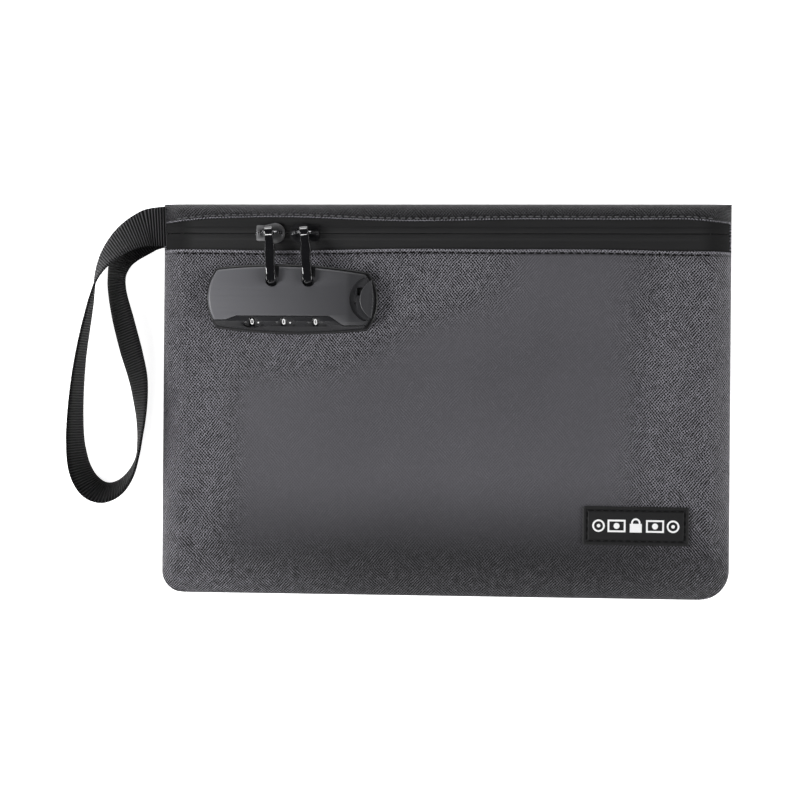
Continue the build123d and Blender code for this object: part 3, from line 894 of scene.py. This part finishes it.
class BAG_OT_stage(bpy.types.Operator):
    """Floor, lights and camera"""
    bl_idname = "bag.stage"
    bl_label = "Stage"

    # Each soft box: its name, place, size and power in watts.
    BOXES = (
        ("left_box", (-1.05, -0.05, 0.8), 0.5, 16.0),
        ("right_box", (1.15, -0.1, 0.75), 0.7, 10.0),
        ("front_box", (-0.3, -0.8, 1.1), 0.28, 4.5),
        ("edge_box", (-0.35, 1.3, 0.42), 0.5, 5.0),
    )

    def execute(self, context):
        deselect()
        bpy.ops.mesh.primitive_plane_add(size=8, location=(0, 0, -0.2 * MM))
        floor = context.active_object
        floor.name = "floor"
        settle(floor)
        floor.data.materials.append(material("floor"))
        self.add_lights(context)
        self.add_camera(context)
        context.scene.view_settings.view_transform = "Standard"
        return {"FINISHED"}

    def add_lights(self, context):
        """Soft boxes at the sides, under a sky that is white at the horizon and dark overhead."""
        world = context.scene.world or bpy.data.worlds.new("studio")
        context.scene.world = world
        world.use_nodes = True
        tree = world.node_tree
        place = tree.nodes.new("ShaderNodeTexCoord")
        split = tree.nodes.new("ShaderNodeSeparateXYZ")
        ramp = tree.nodes.new("ShaderNodeValToRGB")
        tree.links.new(place.outputs["Generated"], split.inputs[0])
        tree.links.new(split.outputs["Z"], ramp.inputs[0])
        tree.links.new(ramp.outputs[0], tree.nodes["Background"].inputs["Color"])
        bright, dark = ramp.color_ramp.elements
        bright.position, bright.color = 0.1, (1, 1, 1, 1)
        dark.position, dark.color = 0.3, (0.02, 0.02, 0.021, 1)
        tree.nodes["Background"].inputs["Strength"].default_value = 1.0
        for name, spot, size, power in self.BOXES:
            data = bpy.data.lights.new(name, "AREA")
            data.size = size
            data.energy = power
            lamp = bpy.data.objects.new(name, data)
            lamp.location = spot
            lamp.rotation_euler = Vector(spot).to_track_quat("Z", "Y").to_euler()
            context.scene.collection.objects.link(lamp)

    def add_camera(self, context):
        """A camera almost square above the front, a little to the right and slightly rolled."""
        distance = 1.0
        aim = Vector((-22.4 * MM, 0.0, SEAM_Z))
        yaw, roll = math.radians(4.4), math.radians(0.46)
        data = bpy.data.cameras.new("camera")
        data.sensor_width = 36
        data.lens = data.sensor_width * distance / VIEW_WIDTH
        camera = bpy.data.objects.new("camera", data)
        turn = Matrix.Rotation(yaw, 4, "Y") @ Matrix.Rotation(roll, 4, "Z")
        camera.matrix_world = Matrix.Translation(aim) @ turn @ Matrix.Translation((0, 0, distance))
        context.scene.collection.objects.link(camera)
        context.scene.camera = camera


class BAG_OT_strap(bpy.types.Operator):
    """Wrist strap: ribbed webbing that leaves the seam flat and stands on its edge round the loop"""
    bl_idname = "bag.strap"
    bl_label = "Wrist strap"

    # The route's points, with each one's height, and how far the band has turned from flat, in degrees.
    ROUTE = [
        (-144.0, 88.7, 7.6, 0), (-151.5, 88.4, 8.4, 10), (-156.2, 86.8, 10.4, 22),
        (-162.2, 83.7, 12.2, 34), (-168.1, 79.0, 13.0, 45), (-173.5, 73.0, 13.2, 56),
        (-177.3, 67.0, 12.6, 66), (-180.1, 60.5, 11.6, 75), (-182.3, 50.0, 10.7, 83),
        (-185.1, 36.0, 10.6, 88), (-187.6, 22.0, 10.5, 91), (-189.4, 6.0, 10.4, 95),
        (-190.3, -10.0, 10.3, 99), (-190.2, -24.0, 10.2, 103), (-187.9, -37.5, 9.9, 111),
        (-182.3, -46.6, 9.4, 118), (-174.7, -49.8, 9.3, 118), (-166.6, -46.8, 9.6, 114),
        (-160.7, -39.6, 10.0, 108), (-157.3, -31.0, 10.2, 103), (-156.2, -20.0, 10.2, 107),
        (-155.8, -10.0, 9.8, 114), (-156.4, 0.0, 9.2, 122), (-157.7, 10.8, 8.6, 129),
        (-161.9, 24.7, 7.9, 134), (-166.1, 40.2, 7.9, 133), (-169.3, 53.6, 8.3, 128),
        (-169.9, 63.0, 8.2, 128), (-167.7, 71.5, 7.0, 138), (-163.3, 78.0, 5.6, 153),
        (-157.3, 83.2, 4.7, 167), (-151.6, 87.0, 4.4, 176), (-144.0, 88.7, 4.6, 180),
    ]

    def execute(self, context):
        look = settings("bag_strap")
        line, turns = self.centre_line()
        piece = self.band(line, turns, look)
        finish_piece(piece, "wrist_strap_webbing", "pouch", "webbing", "webbing", ["wrist_strap"])
        real = sum((b - a).length for a, b in zip(line, line[1:]))
        tuple(line[0])
        [tuple(p) for p in line]
        self.tack(look)
        return {"FINISHED"}

    def centre_line(self):
        """Points and turns along the smooth curve of the route."""
        data = bpy.data.curves.new("strap_route", "CURVE")
        data.dimensions = "3D"
        data.resolution_u = 24
        spline = data.splines.new("NURBS")
        spline.points.add(len(self.ROUTE) - 1)
        for point, (x, y, z, _) in zip(spline.points, self.ROUTE):
            point.co = (x * MM, y * MM, z * MM, 1)
        spline.order_u = 3
        spline.use_endpoint_u = True
        holder = bpy.data.objects.new("strap_route", data)
        bpy.context.scene.collection.objects.link(holder)
        mesh = bpy.data.meshes.new_from_object(holder)
        line = [vertex.co.copy() for vertex in mesh.vertices]
        bpy.data.objects.remove(holder)
        bpy.data.meshes.remove(mesh)
        route = [Vector(point[:3]) * MM for point in self.ROUTE]
        angles = [math.radians(point[3]) for point in self.ROUTE]
        return line, [self.turn_near(p, n / (len(line) - 1), route, angles) for n, p in enumerate(line)]

    def turn_near(self, point, share, route, angles):
        """The band's turn at a point, from the route's points on either side of it."""
        last = len(route) - 1
        best, turn = 1e9, angles[0]
        centre = share * last
        for n in range(max(0, int(centre) - 3), min(last, int(centre) + 4)):
            run = route[n + 1] - route[n]
            along = max(0.0, min(1.0, (point - route[n]).dot(run) / run.length_squared))
            away = (route[n] + run * along - point).length
            if away < best:
                best, turn = away, angles[n] + (angles[n + 1] - angles[n]) * along
        return turn

    def band(self, line, turns, look):
        """The ribbed band along the line, with five cross-sections to each rib."""
        stations = self.even(line, turns, look.rib / 5)
        stations = self.relaxed(stations)
        half, depth = look.width / 2, look.thickness / 2
        section = []
        for n in range(7):
            section.append((-half + 0.5 * MM + (look.width - 1.0 * MM) * n / 6, 1))
        section = [(-half, 0)] + section + [(half, 0)]
        section += [(s, -side) for s, side in reversed(section[1:-1])]
        count = len(section)
        verts, faces, uvs = [], [], []
        total = len(stations)
        for index, (centre, forward, turn, run) in enumerate(stations):
            side = Vector((-forward.y, forward.x, 0)).normalized()
            wide = side * math.cos(turn) + Vector((0, 0, 1)) * math.sin(turn)
            normal = forward.cross(wide).normalized()
            rib = 0.5 + 0.5 * math.cos(math.tau * run / look.rib)
            for across, face in section:
                selvedge = smoothstep((half - abs(across)) / (1.6 * MM))
                thick = depth * (0.8 + 0.2 * rib * selvedge + 0.08 * (1 - selvedge))
                outward = across + 0.08 * MM * rib * (1 - selvedge)
                verts.append(centre + wide * outward + normal * thick * face)
                uvs.append((run, across))
        for index in range(total - 1):
            for n in range(count):
                a, b = index * count + n, index * count + (n + 1) % count
                faces.append((a, b, b + count, a + count))
        faces.append(tuple(reversed(range(count))))
        faces.append(tuple(range((total - 1) * count, total * count)))
        mesh = bpy.data.meshes.new("wrist_strap_webbing")
        mesh.from_pydata(verts, [], faces)
        layer = mesh.uv_layers.new(name="cut")
        for loop in mesh.loops:
            layer.data[loop.index].uv = uvs[loop.vertex_index]
        mesh.validate()
        piece = bpy.data.objects.new("wrist_strap_webbing", mesh)
        bpy.context.scene.collection.objects.link(piece)
        take(piece)
        bpy.ops.object.mode_set(mode="EDIT")
        bpy.ops.mesh.select_all(action="SELECT")
        bpy.ops.mesh.normals_make_consistent(inside=False)
        bpy.ops.object.mode_set(mode="OBJECT")
        smooth(piece, 70)
        return piece

    def even(self, line, turns, step):
        """Evenly spaced stations: centre, direction, turn and distance along."""
        runs = [0.0]
        for a, b in zip(line, line[1:]):
            runs.append(runs[-1] + (b - a).length)
        stations, index = [], 0
        count = int(runs[-1] / step)
        for n in range(count + 1):
            want = runs[-1] * n / count
            while index < len(runs) - 2 and runs[index + 1] < want:
                index += 1
            share = (want - runs[index]) / max(1e-9, runs[index + 1] - runs[index])
            centre = line[index].lerp(line[index + 1], share)
            turn = turns[index] + (turns[index + 1] - turns[index]) * share
            stations.append([centre, None, turn, want])
        for n, station in enumerate(stations):
            ahead = stations[min(n + 3, len(stations) - 1)][0]
            behind = stations[max(n - 3, 0)][0]
            station[1] = (ahead - behind).normalized()
        return stations

    def relaxed(self, stations):
        """The same stations with the turn eased from one to the next."""
        turns = [station[2] for station in stations]
        for _ in range(60):
            inner = [(turns[n - 1] + turns[n] * 2 + turns[n + 1]) / 4 for n in range(1, len(turns) - 1)]
            turns = [turns[0], *inner, turns[-1]]
        return [(c, f, turn, run) for (c, f, _, run), turn in zip(stations, turns)]

    def tack(self, look):
        """The row of tacking stitches that holds the strap in the seam."""
        places = []
        for n in range(7):
            y = 88.7 * MM + (n - 3) * 2.6 * MM
            places.append((Vector((-HALF_W - 1.1 * MM, y, 8.5 * MM)), Vector((0, 1, 0))))
        piece = stitches(places, 2.0 * MM, 0.4 * MM)
        finish_piece(piece, "strap_tack_stitches", "pouch", "dark_thread", "webbing")


class BAG_OT_leather(bpy.types.Operator):
    """Front and back leather, and the lining inside"""
    bl_idname = "bag.leather"
    bl_label = "Leather body"

    def execute(self, context):
        front = front_shell()
        finish_piece(front, "front_leather", "pouch", "leather", "leather", ["front_panel"])
        back = back_shell()
        finish_piece(back, "back_leather", "pouch", "leather", "leather", ["back_panel"])
        for node in ("front_lining", "back_lining"):
            paint_node(node, "lining")
        return {"FINISHED"}


class BAG_OT_zip(bpy.types.Operator):
    """Coated tapes, coils, end stops and the stitching beside them"""
    bl_idname = "bag.zip"
    bl_label = "Zip"

    def execute(self, context):
        look = settings("bag_zip")
        low = PANEL_TOP_Y - 4 * MM
        high = STRIP_Y + 2.5 * MM
        lower = tape_shell(low, ZIP_Y - look.slit / 2, ZIP_Y - look.slit / 2)
        finish_piece(lower, "lower_tape", "pouch", "tape", "coated_zip_tape", ["zip_tape_lower"])
        upper = tape_shell(ZIP_Y + look.slit / 2, high, ZIP_Y + look.slit / 2)
        finish_piece(upper, "upper_tape", "pouch", "tape", "coated_zip_tape", ["zip_tape_upper"])
        for node in ("zip_coil_lower", "zip_coil_upper"):
            paint_node(node, "coil")
        paint_node("zip_end_stops", "black_steel")
        self.hem_stitches(look)
        return {"FINISHED"}

    def hem_stitches(self, look):
        """Dark stitches in the panel's hem and grey ones in the strip's hem."""
        reach = HALF_W - 7 * MM
        y = PANEL_TOP_Y - 2.0 * MM
        lower = row_of_stitches(lambda x: y + hem_wave(x), lambda x: front_height(x, y) + 0.12 * MM,
                                -reach, reach, look.stitch_pitch)
        piece = stitches(lower, look.stitch_length, look.thread)
        finish_piece(piece, "panel_hem_stitches", "pouch", "dark_thread", "leather")
        strip_y = STRIP_Y + 1.7 * MM
        upper = row_of_stitches(
            lambda x: strip_y + strip_wave(x),
            lambda x: SEAM_Z + (FRONT_Z - SEAM_Z) * side_rise(x, 0.0) + 0.02 * MM,
            -reach, reach, look.stitch_pitch * 0.9)
        piece = stitches(upper, look.stitch_length * 0.9, look.thread * 0.85)
        finish_piece(piece, "strip_hem_stitches", "pouch", "grey_thread", "leather")


class BAG_OT_sliders(bpy.types.Operator):
    """Two zip sliders and their long pullers"""
    bl_idname = "bag.sliders"
    bl_label = "Sliders and pullers"

    def execute(self, context):
        for side, look in (("left", "slider_grey"), ("right", "slider_black")):
            piece = refined(f"slider_{side}", 0.22 * MM, 3, 40)
            self.narrow_bridge(piece, mid(f"slider_{side}").x)
            finish_piece(piece, f"slider_{side}_body", f"{side}_slider", look, "slider_metal",
                         [f"slider_{side}"])
            piece.data.materials.append(material("bridge"))
            # Faces above 16.6 mm take the brighter bridge metal, a painted highlight on top of the bridge.
            for face in piece.data.polygons:
                if face.center.z > 16.6 * MM:
                    face.material_index = 1
            self.puller(side)
        return {"FINISHED"}

    def narrow_bridge(self, piece, centre_x):
        """Draws the bridge in towards the middle, so that its legs lean."""
        for vertex in piece.data.vertices:
            share = smoothstep((vertex.co.z - 15.4 * MM) / (2.2 * MM))
            vertex.co.x = centre_x + (vertex.co.x - centre_x) * (1 - 0.26 * share)

    def puller(self, side):
        """One cast puller, softened all over."""
        piece = refined(f"puller_{side}", 0.05 * MM, 1, 50)
        modify(piece, "REMESH", mode="VOXEL", voxel_size=0.2 * MM)
        modify(piece, "SMOOTH", factor=0.6, iterations=8)
        shank = piece.vertex_groups.new(name="shank")
        centre_x = mid(f"slider_{side}").x
        notch_x = SLOT_X[side] - 0.9 * MM
        for vertex in piece.data.vertices:
            place = vertex.co
            near_eye = smoothstep((place.y - ZIP_Y + 14 * MM) / (9 * MM))
            raised = smoothstep((place.z - 18 * MM) / (2 * MM))
            place.x += (place.x - centre_x) * 0.35 * near_eye * raised
            below_eye = smoothstep((ZIP_Y - 3.6 * MM - place.y) / (3 * MM))
            above_notch = smoothstep((place.y - 61.8 * MM) / (1.2 * MM))
            off_notch = max(above_notch, smoothstep((place.x - notch_x) / MM))
            shank.add([vertex.index], below_eye * off_notch, "REPLACE")
        modify(piece, "SMOOTH", factor=0.6, iterations=90, vertex_group="shank")
        slot_wall = SLOT_X[side] - 3.2 * MM
        for vertex in piece.data.vertices:
            if vertex.co.y < 69 * MM:
                vertex.co.x = max(vertex.co.x, slot_wall)
        smooth(piece, 180)
        finish_piece(piece, f"puller_{side}_cast", f"{side}_puller", "gloss", "gloss_black_metal",
                     [f"puller_{side}"])


class BAG_OT_lock(bpy.types.Operator):
    """Lock casing, button, dials and the works inside"""
    bl_idname = "bag.lock"
    bl_label = "Combination lock"

    def execute(self, context):
        look = settings("bag_lock")
        rounded = [
            ("lock_cover", "pouch", "cover", "lock_plastic", look.edge),
            ("dial_bezel", "pouch", "bezel", "lock_plastic", look.edge * 0.8),
            ("lock_base", "pouch", "dark", "dark_plastic", look.edge * 0.7),
            ("release_button", "latch", "cover", "lock_plastic", look.edge * 0.6),
        ]
        for node, body, finish, slot, width in rounded:
            piece = refined(node, width, 3)
            if node == "lock_base":
                self.spread(piece, 0.8 * MM)
            finish_piece(piece, node + "_moulding", body, finish, slot, [node])
        for node in ("lock_backing_plate", "lock_screws", "latch_spring", "detent_springs"):
            paint_node(node, "steel")
        for node in ["dial_posts", "latch_bar", "reset_plunger"] + [f"dial_sleeve_{n}" for n in DIALS]:
            paint_node(node, "black_steel")
        for n in DIALS:
            self.dial(n, look)
        self.window_cheeks()
        return {"FINISHED"}

    def spread(self, piece, by):
        """Widens the lock's base all round, so that its rim shows past the cover's edge."""
        low, high = (Vector(corner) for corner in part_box("lock_base"))
        middle, half = (low + high) / 2, (high - low) / 2
        for vertex in piece.data.vertices:
            vertex.co.x += by * (vertex.co.x - middle.x) / half.x
            vertex.co.y += by * 0.6 * (vertex.co.y - middle.y) / half.y

    def on_slope(self, n, x, y):
        """A place just above a dial's sloped face, in its window; x is from the dial's middle."""
        low, high = (Vector(corner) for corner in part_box(f"dial_{n}"))
        middle = (low + high) / 2
        return Vector((middle.x + x, y, high.z - (middle.y - y - BORE) * SLOPE))

    def window_cheeks(self):
        """Cheeks that leave one number in each window, a liner behind the step, and index dots."""
        cheeks, dots = [], []
        tilt = (math.atan(SLOPE), 0, 0)
        window_y = 39.0 * MM
        for n in DIALS:
            for side in (-1, 1):
                place = self.on_slope(n, side * 3.5 * MM, window_y) + Vector((0, 0, 0.42 * MM))
                deselect()
                bpy.ops.mesh.primitive_cube_add(size=1, location=place, rotation=tilt)
                cheek = bpy.context.active_object
                cheek.scale = (4.3 * MM, 4.4 * MM, 0.4 * MM)
                settle(cheek)
                cheeks.append(cheek)
            if n < len(DIALS):
                place = self.on_slope(n, 3.3 * MM, window_y - 0.3 * MM) + Vector((0, 0, 0.68 * MM))
                deselect()
                bpy.ops.mesh.primitive_cylinder_add(vertices=16, radius=0.38 * MM, depth=0.08 * MM,
                                                    location=place, rotation=tilt)
                dots.append(bpy.context.active_object)
                settle(dots[-1])
        deselect()
        step_y, step_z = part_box("dial_bezel")[1][1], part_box("dial_1")[1][2]
        bpy.ops.mesh.primitive_cube_add(size=1, location=(mid("dial_2").x, step_y, step_z + 0.24 * MM))
        liner = bpy.context.active_object
        liner.scale = (46 * MM, 1.4 * MM, 0.24 * MM)
        settle(liner)
        piece = join([*cheeks, liner])
        modify(piece, "BEVEL", width=0.08 * MM, segments=2)
        smooth(piece, 40)
        finish_piece(piece, "window_cheeks", "pouch", "dark", "lock_plastic")
        piece = join(dots)
        finish_piece(piece, "index_dots", "pouch", "paint", "lock_plastic")

    def dial(self, n, look):
        """One dial wheel: a ribbed rim, a sloped face with ten numbers, and the bore for its post."""
        low, high = (Vector(corner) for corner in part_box(f"dial_{n}"))
        middle = (low + high) / 2
        radius = (high.x - low.x) / 2
        drop = (radius - BORE) * SLOPE
        depth = high.z - low.z - drop
        deselect()
        bpy.ops.mesh.primitive_cylinder_add(vertices=60, radius=radius, depth=depth,
                                            location=(middle.x, middle.y, low.z + depth / 2))
        wheel = bpy.context.active_object
        settle(wheel)
        self.open_bore(wheel, radius - BORE, drop)
        self.rib_rim(wheel, middle)
        modify(wheel, "BEVEL", width=0.1 * MM, segments=2, limit_method="ANGLE", angle_limit=math.radians(40))
        smooth(wheel, 40)
        finish_piece(wheel, f"dial_{n}_wheel", f"dial_wheel_{n}", "dark", "dark_plastic", [f"dial_{n}"])
        centre = Vector((middle.x, middle.y, high.z))
        digits = [self.digit(number, centre, look) for number in range(10)]
        piece = join(digits)
        smooth(piece, 30)
        finish_piece(piece, f"dial_{n}_numbers", f"dial_wheel_{n}", "paint", "dark_plastic")

    def open_bore(self, wheel, inset, drop):
        """Raises the face towards the middle and opens the bore through the wheel."""
        for lift, end in ((drop, 1), (0.0, -1)):
            take(wheel)
            for face in wheel.data.polygons:
                face.select = len(face.vertices) > 4 and face.normal.z * end > 0.9
            bpy.ops.object.mode_set(mode="EDIT")
            bpy.ops.mesh.select_mode(type="FACE")
            bpy.ops.mesh.inset(thickness=inset, depth=lift)
            bpy.ops.object.mode_set(mode="OBJECT")
        for face in wheel.data.polygons:
            face.select = len(face.vertices) > 4
        bpy.ops.object.mode_set(mode="EDIT")
        bpy.ops.mesh.bridge_edge_loops()
        bpy.ops.object.mode_set(mode="OBJECT")

    def rib_rim(self, wheel, middle):
        """Presses a finger notch into the rim at ten places."""
        for face in wheel.data.polygons:
            out = Vector((face.center.x - middle.x, face.center.y - middle.y))
            step = math.degrees(math.atan2(out.y, out.x)) % 36
            face.select = abs(face.normal.z) < 0.1 and out.length > 5 * MM and 15 < step < 21
        bpy.ops.object.mode_set(mode="EDIT")
        bpy.ops.mesh.inset(thickness=0.1 * MM, depth=-0.4 * MM)
        bpy.ops.object.mode_set(mode="OBJECT")

    def digit(self, number, centre, look):
        """One number, laid on the sloped face so that it reads upright at the window."""
        deselect()
        bpy.ops.object.text_add()
        text = bpy.context.active_object
        text.data.body = str(number)
        text.data.size = look.digit * 1.4
        text.data.align_x = "CENTER"
        text.data.align_y = "CENTER"
        text.data.extrude = 0.04 * MM
        text.data.offset = 0.09 * MM
        text.data.resolution_u = 3
        bpy.ops.object.convert(target="MESH")
        text = bpy.context.active_object
        around = math.radians(36 * number - 90)
        out = Vector((math.cos(around), math.sin(around), 0))
        rim, slope = 3.95 * MM, math.atan(SLOPE)
        spot = centre + out * rim - Vector((0, 0, (rim - BORE) * SLOPE - 0.03 * MM))
        up = (Vector((0, 0, math.sin(slope))) - out * math.cos(slope)).normalized()
        normal = (out * math.sin(slope) + Vector((0, 0, math.cos(slope)))).normalized()
        turn = Matrix((up.cross(normal), up, normal)).transposed().to_4x4()
        text.matrix_world = Matrix.Translation(spot) @ turn @ Matrix.Diagonal((0.8, 1, 1, 1))
        settle(text)
        return text


class BAG_OT_patch(bpy.types.Operator):
    """Rubber label patch with a stitched groove and a row of plain money signs"""
    bl_idname = "bag.patch"
    bl_label = "Label patch"

    TURN = math.radians(-0.2)
    CORNER = 1.5 * MM

    def execute(self, context):
        look = settings("bag_patch")
        self.middle = (Vector(PATCH_LOW) + Vector(PATCH_HIGH)) / 2 + Vector((0, 1.5 * MM, 0))
        self.half = (Vector(PATCH_HIGH) - Vector(PATCH_LOW)) / 2
        self.moulding(look)
        self.thread(look)
        self.signs(look)
        return {"FINISHED"}

    def on_leather(self, x, y, z):
        """A place on the patch, turned a little and laid over the leather's swell."""
        turned_x = self.middle.x + x * math.cos(self.TURN) - y * math.sin(self.TURN)
        turned_y = self.middle.y + x * math.sin(self.TURN) + y * math.cos(self.TURN)
        return Vector((turned_x, turned_y, z + front_height(turned_x, turned_y) - FRONT_Z))

    def profile(self, inside, look):
        """Height below the rim's top, by the distance inside the outline."""
        round_over = 0.35 * MM * (1 - smoothstep(inside / (0.5 * MM)))
        wall = 0.3 * MM
        down = smoothstep((inside - look.rim) / wall)
        up = smoothstep((inside - look.rim - look.groove) / wall)
        return -round_over - look.depth * (down - 0.72 * up)

    def moulding(self, look):
        """The rim, groove and field as one moulded sheet."""
        columns, rows = 190, 84
        xs, ys = graded_both(columns), graded_both(rows)
        corner = self.CORNER

        def place(column, row):
            x, y = xs[column] * self.half.x, ys[row] * self.half.y
            a = max(0.0, abs(x) - self.half.x + corner)
            b = max(0.0, abs(y) - self.half.y + corner)
            inside = min(self.half.x - abs(x), self.half.y - abs(y))
            if a > 0 and b > 0:
                round_a = a * math.sqrt(1 - b * b / (2 * corner * corner))
                round_b = b * math.sqrt(1 - a * a / (2 * corner * corner))
                inside = corner - math.hypot(round_a, round_b)
                x = math.copysign(self.half.x - corner + round_a, x)
                y = math.copysign(self.half.y - corner + round_b, y)
            return self.on_leather(x, y, PATCH_HIGH[2] + self.profile(inside, look))

        piece = grid_piece(columns, rows, place)
        modify(piece, "SOLIDIFY", thickness=self.half.z * 2 - 0.2 * MM, offset=-1.0, use_rim=True)
        smooth(piece, 50)
        finish_piece(piece, "label_patch_moulding", "pouch", "rubber", "patch_rubber", ["label_patch"])

    def thread(self, look):
        """Thread round the groove."""
        inset = look.rim + look.groove / 2 + 0.15 * MM
        half_x, half_y = self.half.x - inset, self.half.y - inset
        z = PATCH_HIGH[2] - look.depth + 0.12 * MM
        places = []
        for count, step, side in ((13, (1, 0), -1), (13, (1, 0), 1), (4, (0, 1), -1), (4, (0, 1), 1)):
            for n in range(count):
                share = (n + 0.5) / count * 2 - 1
                x = share * half_x if step[0] else side * half_x
                y = share * half_y if step[1] else side * half_y
                places.append((self.on_leather(x, y, z), Vector((*step, 0))))
        piece = stitches(places, 2.9 * MM, 0.5 * MM)
        finish_piece(piece, "patch_stitches", "pouch", "dark_thread", "patch_rubber")

    def bar(self, x, y, width, height):
        """A flat printed bar; sizes and places are in millimetres from the patch's middle."""
        deselect()
        bpy.ops.mesh.primitive_cube_add(size=1, location=(x * MM, y * MM, 0))
        part = bpy.context.active_object
        part.scale = (width * MM, height * MM, 0.3 * MM)
        settle(part)
        return part

    def ring(self, x, y, radius, line):
        """A flat printed ring."""
        deselect()
        bpy.ops.mesh.primitive_torus_add(major_radius=radius * MM, minor_radius=line * MM / 2,
                                         major_segments=36, minor_segments=8,
                                         location=(x * MM, y * MM, 0))
        part = bpy.context.active_object
        part.scale = (1, 1, 0.3 / line)
        settle(part)
        return part

    def disc(self, x, y, radius):
        """A flat printed disc."""
        deselect()
        bpy.ops.mesh.primitive_cylinder_add(vertices=28, radius=radius * MM, depth=0.3 * MM,
                                            location=(x * MM, y * MM, 0))
        return bpy.context.active_object

    def signs(self, look):
        """A padlock between two banknotes and two coins."""
        parts = [self.bar(0, -1.0, 6.0, 4.4), self.ring(0, 1.6, 1.9, 0.9)]
        for side in (-1, 1):
            note = side * 9.6
            parts += [self.bar(note, 2.7, 9.0, 0.9), self.bar(note, -2.7, 9.0, 0.9)]
            parts += [self.bar(note + across, 0, 0.9, 4.6) for across in (-4.05, 4.05)]
            parts.append(self.disc(note, 0, 1.5))
            coin = side * 18.6
            parts += [self.ring(coin, 0, 2.7, 0.9), self.disc(coin, 0, 0.9)]
        for part in parts:
            settle(part)
        piece = join(parts)
        z = PATCH_HIGH[2] - 0.28 * look.depth
        for vertex in piece.data.vertices:
            vertex.co = self.on_leather(vertex.co.x, vertex.co.y, z + vertex.co.z * 0.7)
        smooth(piece, 40)
        finish_piece(piece, "patch_signs", "pouch", "paint", "patch_rubber")


STEPS = [BAG_OT_stage, BAG_OT_strap, BAG_OT_leather, BAG_OT_zip, BAG_OT_sliders, BAG_OT_lock, BAG_OT_patch]


class BAG_PT_panel(bpy.types.Panel):
    """Lists the bag's steps and settings in the sidebar"""
    bl_idname = "BAG_PT_panel"
    bl_label = "Cash Bag"
    bl_space_type = "VIEW_3D"
    bl_region_type = "UI"
    bl_category = "Cash Bag"

    def draw(self, context):
        for step in STEPS:
            self.layout.operator(step.bl_idname)
        for name, group in SETTINGS.items():
            box = self.layout.box()
            for label in group.__annotations__:
                box.prop(getattr(context.scene, name), label)


def register():
    """Registers the settings, operators and panel."""
    for name, group in SETTINGS.items():
        bpy.utils.register_class(group)
        setattr(bpy.types.Scene, name, bpy.props.PointerProperty(type=group))
    for cls in [*STEPS, BAG_PT_panel]:
        bpy.utils.register_class(cls)


def unregister():
    """Takes back what register added."""
    for cls in [BAG_PT_panel, *reversed(STEPS)]:
        bpy.utils.unregister_class(cls)
    for name, group in SETTINGS.items():
        delattr(bpy.types.Scene, name)
        bpy.utils.unregister_class(group)


def main():
    """Makes every piece in order."""
    register()
    for step in STEPS:
        group, name = step.bl_idname.split(".")
        getattr(getattr(bpy.ops, group), name)()


if __name__ == "__main__":
    main()
